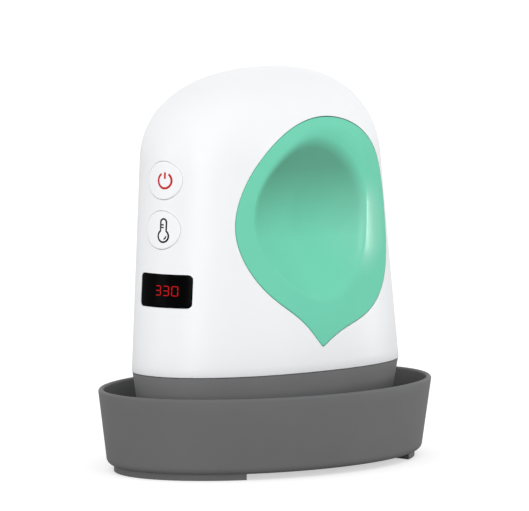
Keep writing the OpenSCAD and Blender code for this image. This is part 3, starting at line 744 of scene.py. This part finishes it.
# %% Skirt
SKIRT_STEP = 0.2 * MM
SKIRT_LEAN = 0.16
SKIRT_WALL = 2 * MM
SKIRT_ROUND = 0.6 * MM
SHELF_Z = 20.6 * MM
SHELF_TOP = 23.6 * MM
SKIRT_Z = SKIRT_LOW.z
RABBET = 0.2 * MM
TONGUE_INSET = SHELL_WALL + 0.3 * MM
SIDE_STEPS = 6
HOUSING_POINTS = 144


def skirt_inset(z):
    return SKIRT_STEP + SKIRT_LEAN * (SEAM_Z - z)


def raise_oval(name, points, levels, reach, side, power):
    """Levels hold a height and an inset from the full oval, or no inset for the middle."""
    def place(angle, level):
        z, inset = levels[level]
        if inset is None:
            return Vector((0, 0, z))
        return oval_point(angle, reach - inset, reach - inset, side - inset, 0, z, power)
    return raise_wall(name, points, len(levels), place)


side_low = SKIRT_Z + SKIRT_ROUND
side_high = SEAM_Z - RABBET
skirt_levels = [(SHELF_Z, None), (SHELF_Z, skirt_inset(SHELF_Z) + SKIRT_WALL),
                (SKIRT_Z, skirt_inset(SKIRT_Z) + SKIRT_WALL)]
skirt_levels += [(SKIRT_Z + SKIRT_ROUND * (1 - math.sin(a)),
                  skirt_inset(SKIRT_Z) + SKIRT_ROUND * (1 - math.cos(a))) for a in turn(90, 0, 3)]
side_heights = [side_low + (side_high - side_low) * k / SIDE_STEPS for k in range(1, SIDE_STEPS + 1)]
skirt_levels += [(z, skirt_inset(z)) for z in side_heights]
skirt_levels += [(side_high, TONGUE_INSET), (SEAM_Z, TONGUE_INSET),
                 (SEAM_Z, TONGUE_INSET + SKIRT_WALL),
                 (SHELF_TOP, skirt_inset(SHELF_TOP) + SKIRT_WALL), (SHELF_TOP, None)]
skirt = smooth(raise_oval("skirt", HOUSING_POINTS, skirt_levels, BODY_REACH, BODY_SIDE, PLAN_POWER))
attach(skirt, "press")
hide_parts("lower_housing")
print(f"skirt: {len(skirt.data.polygons)} faces")

# %% [markdown]
# ## The tray
# The tray is a deep oval dish with a rounded rim, a soft corner down to a plinth and a foot
# at each end. Its wall could be a solidified sheet, but then the rim and the fillet inside
# would need cuts of their own. As one closed profile of heights and insets, the wall, the rim
# and the floor come out of a single ring.

# %% Tray dish
TRAY_POWER = 2.0
TRAY_REACH = 67.3 * MM
TRAY_SIDE = 42.45 * MM
RIM_Z = TRAY_HIGH.z
TRAY_WALL = 1.8 * MM
TRAY_LEAN = 3 * MM
TRAY_CORNER = 2.4 * MM
FOOT_H = 2 * MM
PLINTH_H = 0.2 * MM
FLOOR_T = 2.4 * MM
FILLET = 2.2 * MM
WALL_STEPS = 6
TRAY_POINTS = 192
PLINTH_INSET = TRAY_LEAN + TRAY_CORNER
WALL_FOOT_Z = FOOT_H + PLINTH_H + TRAY_CORNER
FLOOR_Z = FOOT_H + FLOOR_T


def wall_inset(z):
    return TRAY_LEAN * (RIM_Z - z) / (RIM_Z - WALL_FOOT_Z)


rim_r = TRAY_WALL / 2
rim_low = RIM_Z - rim_r
corner_low = FOOT_H + PLINTH_H
fillet_top = FLOOR_Z + FILLET
fillet_inset = wall_inset(max(fillet_top, WALL_FOOT_Z)) + TRAY_WALL
tray_levels = [(FOOT_H, None), (FOOT_H, PLINTH_INSET)]
tray_levels += [(corner_low + TRAY_CORNER * (1 - math.cos(a)),
                 TRAY_LEAN + TRAY_CORNER * (1 - math.sin(a))) for a in turn(0, 90, 8)]
wall_heights = [WALL_FOOT_Z + (rim_low - WALL_FOOT_Z) * k / WALL_STEPS for k in range(1, WALL_STEPS)]
tray_levels += [(z, wall_inset(z)) for z in wall_heights]
tray_levels += [(rim_low + rim_r * math.sin(a), wall_inset(rim_low) + rim_r * (1 - math.cos(a)))
                for a in turn(0, 180, 12)]
tray_levels += [(fillet_top - FILLET * math.cos(a), fillet_inset + FILLET * (1 - math.sin(a)))
                for a in turn(90, 0, 6)]
tray_levels += [(FLOOR_Z, None)]
tray = raise_oval("tray_dish", TRAY_POINTS, tray_levels, TRAY_REACH, TRAY_SIDE, TRAY_POWER)
print(f"tray: {len(tray.data.polygons)} faces")

# %% [markdown]
# ## Feet and rests of the tray
# A band under the tray is cut away between the two ends, which leaves two curved feet. Eight
# small rests stand on the tray's floor and carry the skirt, so the plate never touches. They
# could be one array, but each has its own place on the oval, so a block is added for each,
# narrowed at its top as a moulded rib is, and fused to the tray.

# %% Feet and rests
FOOT_STEP = 0.2 * MM
FOOT_BAND = 9 * MM
FOOT_GAP = 39.5 * MM
SUNK = 0.5 * MM
RESTS_A_SIDE = 4
REST_PITCH = 18 * MM
REST_TOP = SKIRT_Z - 0.2 * MM
REST_L = 4.2 * MM
REST_W = 5.6 * MM
REST_OUT = 0.6 * MM
REST_TAPER_L = 0.72
REST_TAPER_W = 0.43
foot_levels = [(FOOT_H + SUNK, PLINTH_INSET + FOOT_STEP), (0, PLINTH_INSET + FOOT_STEP),
               (0, PLINTH_INSET + FOOT_BAND), (FOOT_H + SUNK, PLINTH_INSET + FOOT_BAND),
               (FOOT_H + SUNK, PLINTH_INSET + FOOT_STEP)]
feet = raise_oval("feet", TRAY_POINTS, foot_levels, TRAY_REACH, TRAY_SIDE, TRAY_POWER)
bpy.ops.object.select_all(action="DESELECT")
bpy.ops.mesh.primitive_cube_add(size=2)
gap_cutter = bpy.context.object
gap_cutter.scale = (FOOT_GAP, 2 * TRAY_SIDE, 3 * FOOT_H)
bpy.ops.object.transform_apply(location=False, rotation=False, scale=True)
combine(feet, gap_cutter, "DIFFERENCE")
combine(tray, feet, "UNION")


def skirt_side(x, inset):
    return (BODY_SIDE - inset) * oval(x / (BODY_REACH - inset))


for side in (-1, 1):
    for k in range(RESTS_A_SIDE):
        x = (k - (RESTS_A_SIDE - 1) / 2) * REST_PITCH
        y = side * (skirt_side(x, skirt_inset(SKIRT_Z) + SKIRT_WALL / 2) + REST_OUT)
        height = REST_TOP - FLOOR_Z + SUNK
        bpy.ops.object.select_all(action="DESELECT")
        bpy.ops.mesh.primitive_cube_add(size=1, location=(x, y, FLOOR_Z - SUNK + height / 2),
                                        scale=(REST_L, REST_W, height))
        rest = bpy.context.object
        bpy.ops.object.transform_apply(location=True, rotation=True, scale=True)
        for vertex in rest.data.vertices:
            if vertex.co.z > FLOOR_Z + MM:
                vertex.co.x = x + (vertex.co.x - x) * REST_TAPER_L
                vertex.co.y = y + (vertex.co.y - y) * REST_TAPER_W
        combine(tray, rest, "UNION")
smooth(tray)
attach(tray, "base")
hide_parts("tray")
print(f"tray with feet and rests: {len(tray.data.polygons)} faces")

# %% [markdown]
# ## What shows when the press is lifted
# Lifting the press uncovers the mat on the tray floor and the coated plate under the skirt.
# A scaled cylinder would leave an uneven gap to the skirt, so both are ovals with rounded
# edges, raised level by level from the skirt's own outline.

# %% Plate and mat
PLATE_LOW, PLATE_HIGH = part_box("heating_plate")
MAT_LOW, MAT_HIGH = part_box("heat_mat")
PLATE_INSET = skirt_inset(SKIRT_Z) + SKIRT_WALL + 0.4 * MM
PLATE_ROUND = 1.8 * MM
PLATE_FIELD = 20 * MM
MAT_INSET = skirt_inset(SKIRT_Z) + SKIRT_WALL + 4.5 * MM
MAT_ROUND = 0.6 * MM


def body_oval(name, levels):
    return smooth(raise_oval(name, HOUSING_POINTS, levels, BODY_REACH, BODY_SIDE, PLAN_POWER))


plate_levels = [(PLATE_LOW.z, None), (PLATE_LOW.z, PLATE_INSET + PLATE_FIELD)]
plate_levels += [(PLATE_LOW.z + PLATE_ROUND * (1 - math.cos(a)),
                  PLATE_INSET + PLATE_ROUND * (1 - math.sin(a))) for a in turn(0, 90, 8)]
plate_levels += [(PLATE_HIGH.z, PLATE_INSET), (PLATE_HIGH.z, None)]
plate = body_oval("coated_plate", plate_levels)
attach(plate, "press")
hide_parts("heating_plate")

mat_levels = [(MAT_LOW.z, None), (MAT_LOW.z, MAT_INSET)]
mat_levels += [(MAT_HIGH.z - MAT_ROUND * (1 - math.sin(a)), MAT_INSET + MAT_ROUND * (1 - math.cos(a)))
               for a in turn(0, 90, 6)]
mat_levels += [(MAT_HIGH.z, None)]
mat = body_oval("mat", mat_levels)
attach(mat, "base")
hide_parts("heat_mat")
print(f"plate {len(plate.data.polygons)} faces, mat {len(mat.data.polygons)} faces")

# %% [markdown]
# ## The cord inlet
# The gland is a rubber bush with a rounded collar outside the wall and a lock inside it. It
# is round about one axis, so it could be a spun profile. The helper for walls does the same
# with a ring that follows the profile along X, and closes the bore as well.

# %% Gland
BORE_R = 3.2 * MM
NECK_R = 5 * MM
LOCK_R = 6.2 * MM
NECK_L = 6.4 * MM
COLLAR_ROUND = 0.9 * MM
BORE_ROUND = 0.4 * MM
neck_start = SEAT_X + COLLAR_GAP - NECK_L
collar_face = GLAND_HIGH.x
profile = [(GLAND_LOW.x, BORE_R), (GLAND_LOW.x, LOCK_R), (neck_start, LOCK_R), (neck_start, NECK_R),
           (collar_face - COLLAR_T, NECK_R), (collar_face - COLLAR_T, COLLAR_R)]
profile += [(collar_face - COLLAR_ROUND * (1 - math.sin(a)),
             COLLAR_R - COLLAR_ROUND * (1 - math.cos(a))) for a in turn(0, 90, 8)]
profile += [(collar_face, BORE_R + BORE_ROUND), (collar_face - BORE_ROUND, BORE_R), (GLAND_LOW.x, BORE_R)]


def gland_place(angle, level):
    x, r = profile[level]
    return Vector((x, r * math.cos(angle), INLET_Z + r * math.sin(angle)))


gland = smooth(raise_wall("inlet_gland", ROUND_POINTS, len(profile), gland_place))
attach(gland, "press")
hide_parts("cord_gland")
print(f"gland: {len(gland.data.polygons)} faces")

# %% [markdown]
# ## Finishes
# A finish could be painted on an image, but a node material on Object coordinates needs no
# unwrapping and sticks to its piece when that moves. Plain plastics differ in how much they
# shine and in the grain of their mould: the shell is smooth with a soft gloss, the inlays are
# satin, and the tray and skirt have a fine spark-eroded grain. One helper makes them all.

# %% Material helper
TONE_LOW, TONE_HIGH = 0.35, 0.65  # where the noise gives the darkest and the lightest tone
SHEEN_ROUGHNESS = 0.5
GRAIN_DEPTH = 0.1 * MM
MIRROR_LIMIT = 0.02


def finish_material(name, colour, roughness, grain=0.0, grain_scale=900.0, tint=0.03, metallic=0.0,
                    specular=0.5, mottle=60.0, wear=0.08, sheen=0.0):
    """A base colour that drifts a little, a roughness that wanders, and a fine moulded grain."""
    material = bpy.data.materials.new(name)
    material.use_nodes = True
    nodes, links = material.node_tree.nodes, material.node_tree.links
    shader = nodes["Principled BSDF"]
    shader.inputs["Metallic"].default_value = metallic
    shader.inputs["Specular IOR Level"].default_value = specular
    shader.inputs["Sheen Weight"].default_value = sheen
    shader.inputs["Sheen Roughness"].default_value = SHEEN_ROUGHNESS
    place = nodes.new("ShaderNodeTexCoord")
    drift = nodes.new("ShaderNodeTexNoise")
    drift.inputs["Scale"].default_value = mottle
    drift.inputs["Detail"].default_value = 3
    links.new(place.outputs["Object"], drift.inputs["Vector"])
    tones = nodes.new("ShaderNodeValToRGB")
    tones.color_ramp.elements[0].position = TONE_LOW
    tones.color_ramp.elements[1].position = TONE_HIGH
    tones.color_ramp.elements[0].color = (*[c * (1 - tint) for c in colour], 1)
    tones.color_ramp.elements[1].color = (*[min(1, c * (1 + tint)) for c in colour], 1)
    links.new(drift.outputs["Fac"], tones.inputs["Fac"])
    links.new(tones.outputs["Color"], shader.inputs["Base Color"])
    rub = nodes.new("ShaderNodeMapRange")
    rub.inputs["To Min"].default_value = max(MIRROR_LIMIT, roughness - wear / 2)
    rub.inputs["To Max"].default_value = roughness + wear / 2
    links.new(drift.outputs["Fac"], rub.inputs["Value"])
    links.new(rub.outputs["Result"], shader.inputs["Roughness"])
    fine = nodes.new("ShaderNodeTexNoise")
    fine.inputs["Scale"].default_value = grain_scale
    fine.inputs["Detail"].default_value = 4
    links.new(place.outputs["Object"], fine.inputs["Vector"])
    bump = nodes.new("ShaderNodeBump")
    bump.inputs["Strength"].default_value = grain
    bump.inputs["Distance"].default_value = GRAIN_DEPTH
    links.new(fine.outputs["Fac"], bump.inputs["Height"])
    links.new(bump.outputs["Normal"], shader.inputs["Normal"])
    return material


def dress(piece, material):
    piece.data.materials.clear()
    piece.data.materials.append(material)


def srgb(code):
    """A colour as it looks on screen, turned into the light that makes it."""
    values = [int(code[k:k + 2], 16) / 255 for k in (0, 2, 4)]
    return [v / 12.92 if v <= 0.04045 else ((v + 0.055) / 1.055) ** 2.4 for v in values]


# %% The materials
WHITE = finish_material("polished_white_plastic", srgb("F1F2F4"), 0.34, grain=0.05, tint=0.006,
                        specular=0.3, sheen=0.5)
KEY_WHITE = finish_material("key_white_plastic", srgb("F3F4F6"), 0.36, grain=0.05, tint=0.005,
                            specular=0.3, sheen=0.5)
TEAL = finish_material("satin_teal_plastic", srgb("74D2B3"), 0.3, grain=0.08, tint=0.012, specular=0.4)
GREY = finish_material("grained_grey_plastic", srgb("69696A"), 0.5, grain=0.35, tint=0.02, specular=0.12)
# Painted light: the skirt's grey is lighter than the tray's to make up for the shade that the shell and
# the tray cast on it.
LIGHTENED_SKIRT_GREY = finish_material("skirt_grey_plastic", srgb("7A7A7B"), 0.5, grain=0.35, tint=0.02,
                             specular=0.12)
BLACK_GLASS = finish_material("black_window", srgb("020203"), 0.22, grain=0.02, tint=0.1, specular=0.025)
RED_INK = finish_material("red_ink", srgb("C21C22"), 0.5, grain=0.1, tint=0.03, specular=0.15)
NAVY_INK = finish_material("navy_ink", srgb("101826"), 0.5, grain=0.1, tint=0.03, specular=0.1)
COATED = finish_material("coated_plate", srgb("3C3E41"), 0.42, grain=0.3, tint=0.06, grain_scale=1500)
MAT_GREY = finish_material("pressed_mat", srgb("8D8F92"), 0.85, grain=0.9, tint=0.08, grain_scale=500)
RUBBER = finish_material("black_rubber", srgb("37383B"), 0.7, grain=0.3, tint=0.05)
STEEL = finish_material("zinc_steel", srgb("B9BCC0"), 0.35, grain=0.2, tint=0.04, metallic=1.0)
BRASS = finish_material("brass", srgb("C9A15A"), 0.35, grain=0.2, tint=0.05, metallic=1.0)
BOARD = finish_material("board_green", srgb("1F6B43"), 0.45, grain=0.3, tint=0.12, mottle=300)
DARK_PLASTIC = finish_material("dark_plastic", srgb("3A3A3C"), 0.5, grain=0.3, tint=0.04)
RELAY_BLUE = finish_material("relay_blue", srgb("2F5FAE"), 0.4, grain=0.2, tint=0.04)
FELT = finish_material("ceramic_felt", srgb("E9E4D6"), 0.95, grain=1.0, tint=0.06, grain_scale=700)
MICA = finish_material("mica_element", srgb("B08A4A"), 0.5, grain=0.5, tint=0.15, mottle=120)
CERAMIC = finish_material("cutout_ceramic", srgb("D8D2C4"), 0.5, grain=0.2, tint=0.03)
GLOW = finish_material("red_segment", srgb("8C0A0A"), 0.4, grain=0.02, tint=0.02, specular=0.1)
print(f"{WHITE.name} has {len(WHITE.node_tree.nodes)} nodes, as each finish does")

# %% [markdown]
# ## Where the inlay has painted shade and where it shines
# The hollow is matt, and its colour is painted greyer and darker towards its top: painted shade,
# where the hollow's upper wall faces down. The rim is glossy on the cord side, at the height where
# the palm closes over it. Both could be painted as masks, but a distance from a point, measured in
# the side view and faded, gives the same soft edge.

# %% Helpers for the two fades
nodes, links = TEAL.node_tree.nodes, TEAL.node_tree.links
teal_shader = nodes["Principled BSDF"]
plain_teal = teal_shader.inputs["Base Color"].links[0].from_socket


def node_distance(middle_x, middle_z):
    """Distance in the side view from a point, counted in radii of the hollow."""
    where = nodes.new("ShaderNodeTexCoord")
    offset = nodes.new("ShaderNodeVectorMath")
    offset.operation = "SUBTRACT"
    offset.inputs[1].default_value = (middle_x, 0, middle_z)
    links.new(where.outputs["Object"], offset.inputs[0])
    flat = nodes.new("ShaderNodeVectorMath")
    flat.operation = "MULTIPLY"
    flat.inputs[1].default_value = (1 / HOLLOW_R, 0, 1 / HOLLOW_R)
    links.new(offset.outputs["Vector"], flat.inputs[0])
    length = nodes.new("ShaderNodeVectorMath")
    length.operation = "LENGTH"
    links.new(flat.outputs["Vector"], length.inputs[0])
    return flat.outputs["Vector"], length.outputs["Value"]


def node_fade(value, start, end, low=0.0, high=1.0):
    """Goes evenly from low, where the value is at start, to high, where it is at end."""
    fade = nodes.new("ShaderNodeMapRange")
    for socket, number in zip(("From Min", "From Max", "To Min", "To Max"), (start, end, low, high)):
        fade.inputs[socket].default_value = number
    links.new(value, fade.inputs["Value"])
    return fade.outputs["Result"]


# %% Gloss spot and painted shade in the hollow
GLOSS_BACK = 19 * MM
# where each fade starts and ends, and the values there
SPOT_SHINE = (0.15, 0.65, 0.5, 0.04)
SPOT_ROUGHNESS = (0.3, 0.7, 0.28, 0.65)
PAINTED_SHADE_UPWARD = (-0.3, 0.6, 0.0, 0.72)
PAINTED_SHADE_INWARD = (1.02, 0.86)
from_hollow, hollow_reach = node_distance(GRIP_X - HOLLOW_FORWARD, GRIP_Z + HOLLOW_UP)
gloss_reach = node_distance(GRIP_X + GLOSS_BACK, GRIP_Z)[1]
links.new(node_fade(gloss_reach, *SPOT_SHINE), teal_shader.inputs["Specular IOR Level"])
links.new(node_fade(gloss_reach, *SPOT_ROUGHNESS), teal_shader.inputs["Roughness"])
# Painted shade: the teal turns a darker grey-green towards the top of the hollow, where it faces down.
height = nodes.new("ShaderNodeSeparateXYZ")
links.new(from_hollow, height.inputs["Vector"])
painted_shade_amount = nodes.new("ShaderNodeMath")
painted_shade_amount.operation = "MULTIPLY"
links.new(node_fade(height.outputs["Z"], *PAINTED_SHADE_UPWARD), painted_shade_amount.inputs[0])
links.new(node_fade(hollow_reach, *PAINTED_SHADE_INWARD), painted_shade_amount.inputs[1])
painted_shade_mix = nodes.new("ShaderNodeMix")
painted_shade_mix.data_type = "RGBA"
painted_shade_mix.inputs["B"].default_value = (*srgb("5E9480"), 1)
links.new(painted_shade_amount.outputs["Value"], painted_shade_mix.inputs["Factor"])
links.new(plain_teal, painted_shade_mix.inputs["A"])
links.new(painted_shade_mix.outputs["Result"], teal_shader.inputs["Base Color"])
print(f"gloss spot {GLOSS_BACK / MM:.0f} mm behind the middle of the inlay")

# %% Glow of the digits
GLOW_RED = (1.0, 0.008, 0.008, 1)
GLOW_STRENGTH = 0.4
glow_shader = GLOW.node_tree.nodes["Principled BSDF"]
glow_shader.inputs["Emission Color"].default_value = GLOW_RED
glow_shader.inputs["Emission Strength"].default_value = GLOW_STRENGTH
print(f"the digits glow with a strength of {GLOW_STRENGTH}")

# %% Every piece gets its finish
for piece, material in ((shell, WHITE), (window, BLACK_GLASS), (skirt, LIGHTENED_SKIRT_GREY), (tray, GREY),
                        (plate, COATED), (mat, MAT_GREY), (gland, RUBBER),
                        (keys["power_button"], KEY_WHITE), (keys["temperature_button"], KEY_WHITE),
                        (grips["grip_left"], TEAL), (grips["grip_right"], TEAL)):
    dress(piece, material)
for line in power_lines:
    dress(line, RED_INK)
for line in heat_lines:
    dress(line, NAVY_INK)
for digit in digits:
    dress(digit, GLOW)
NODE_FINISH = {
    "power_plunger": DARK_PLASTIC, "temperature_plunger": DARK_PLASTIC, "power_switch": DARK_PLASTIC,
    "temperature_switch": DARK_PLASTIC, "led_display": DARK_PLASTIC, "control_board": BOARD,
    "board_screws": STEEL, "power_relay": RELAY_BLUE, "housing_screws": STEEL,
    "heat_shield": STEEL, "insulation_pad": FELT, "heating_element": MICA,
    "plate_screws": STEEL, "thermal_cutout": CERAMIC, "temperature_sensor": BRASS,
}
for node, material in NODE_FINISH.items():
    dress(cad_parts[node], material)
print(f"{len(bpy.data.materials)} materials")

# %% [markdown]
# ## The floor and the light
# The object stands on a plain white floor in a soft white room, as in a catalogue picture.
# More light would whiten the background too, but it would also wash out the colours. So only
# what the camera and reflections see of the room is plain white, the floor glows faintly for
# the camera alone and keeps the object's shadow, and the lamps stay at a level at which a
# colour comes out about as it was chosen.

# %% Floor
ROOM_LIGHT = 0.81
FLOOR_WHITE = 0.65
FLOOR_GLOW = 0.56
bpy.ops.object.select_all(action="DESELECT")
bpy.ops.mesh.primitive_plane_add(size=40)
floor = bpy.context.object
floor.name = "floor"
floor_finish = bpy.data.materials.new("floor_white")
floor_finish.use_nodes = True
nodes, links = floor_finish.node_tree.nodes, floor_finish.node_tree.links
floor_shader = nodes["Principled BSDF"]
floor_shader.inputs["Base Color"].default_value = (FLOOR_WHITE, FLOOR_WHITE, FLOOR_WHITE, 1)
floor_shader.inputs["Roughness"].default_value = 0.9
floor_shader.inputs["Specular IOR Level"].default_value = 0.0
floor_shader.inputs["Emission Color"].default_value = (1, 1, 1, 1)
rays = nodes.new("ShaderNodeLightPath")
seen = nodes.new("ShaderNodeMath")
seen.operation = "MULTIPLY"
seen.inputs[1].default_value = FLOOR_GLOW
links.new(rays.outputs["Is Camera Ray"], seen.inputs[0])
links.new(seen.outputs["Value"], floor_shader.inputs["Emission Strength"])
floor.data.materials.append(floor_finish)
print(f"floor {floor.dimensions.x:.0f} m wide")

# %% Room
world = bpy.data.worlds.new("white_room")
bpy.context.scene.world = world
world.use_nodes = True
nodes, links = world.node_tree.nodes, world.node_tree.links
room = nodes["Background"]
room.inputs["Color"].default_value = (1, 1, 1, 1)
room.inputs["Strength"].default_value = ROOM_LIGHT
backdrop = nodes.new("ShaderNodeBackground")
backdrop.inputs["Color"].default_value = (1, 1, 1, 1)
backdrop.inputs["Strength"].default_value = 1.0
rays = nodes.new("ShaderNodeLightPath")
either = nodes.new("ShaderNodeMath")
either.operation = "MAXIMUM"
links.new(rays.outputs["Is Camera Ray"], either.inputs[0])
links.new(rays.outputs["Is Glossy Ray"], either.inputs[1])
any_view = nodes.new("ShaderNodeMath")
any_view.operation = "MAXIMUM"
links.new(either.outputs["Value"], any_view.inputs[0])
links.new(rays.outputs["Is Transmission Ray"], any_view.inputs[1])
pick = nodes.new("ShaderNodeMixShader")
links.new(any_view.outputs["Value"], pick.inputs["Fac"])
links.new(room.outputs["Background"], pick.inputs[1])
links.new(backdrop.outputs["Background"], pick.inputs[2])
links.new(pick.outputs["Shader"], nodes["World Output"].inputs["Surface"])
print(f"room light {ROOM_LIGHT}, backdrop 1")

# %% [markdown]
# ## The lamps
# Four wide softboxes round the front give the body its gentle shading, strongest from straight
# ahead, and a small strip at the cord end draws the streak on the inlay's rim. Sun lamps would
# throw hard shadows, so all of them are area lamps that point at the body.

# %% Lamps
def softbox(name, direction, distance, width, height, share):
    """The share is the brightness that the lamp adds to a white face turned straight to it."""
    place = LOOKED_AT + Vector(direction).normalized() * distance
    bpy.ops.object.select_all(action="DESELECT")
    bpy.ops.object.light_add(type="AREA", location=place)
    lamp = bpy.context.object
    lamp.name = name
    lamp.rotation_euler = (LOOKED_AT - place).to_track_quat("-Z", "Y").to_euler()
    lamp.data.shape = "RECTANGLE"
    lamp.data.size = width
    lamp.data.size_y = height
    lamp.data.energy = share * math.pi ** 2 * distance ** 2
    return lamp


# name, direction from the body, distance, width, height, share of light
LAMPS = (("key_softbox", (-0.55, -0.51, 0.75), 1.8, 1.0, 1.0, 0.08),
         ("front_softbox", (-0.70, -0.71, 0.05), 1.8, 0.7, 0.7, 0.27),
         ("left_softbox", (-0.92, 0.38, 0.12), 1.8, 0.8, 0.8, 0.12),
         ("right_softbox", (0.40, -0.91, 0.08), 1.8, 0.8, 0.8, 0.14),
         ("glint_strip", (0.93, -0.36, -0.02), 1.2, 0.05, 0.12, 0.09))
for lamp in LAMPS:
    softbox(*lamp)

# %% Colours as they are written, with no film look on top
bpy.context.scene.view_settings.view_transform = "Standard"
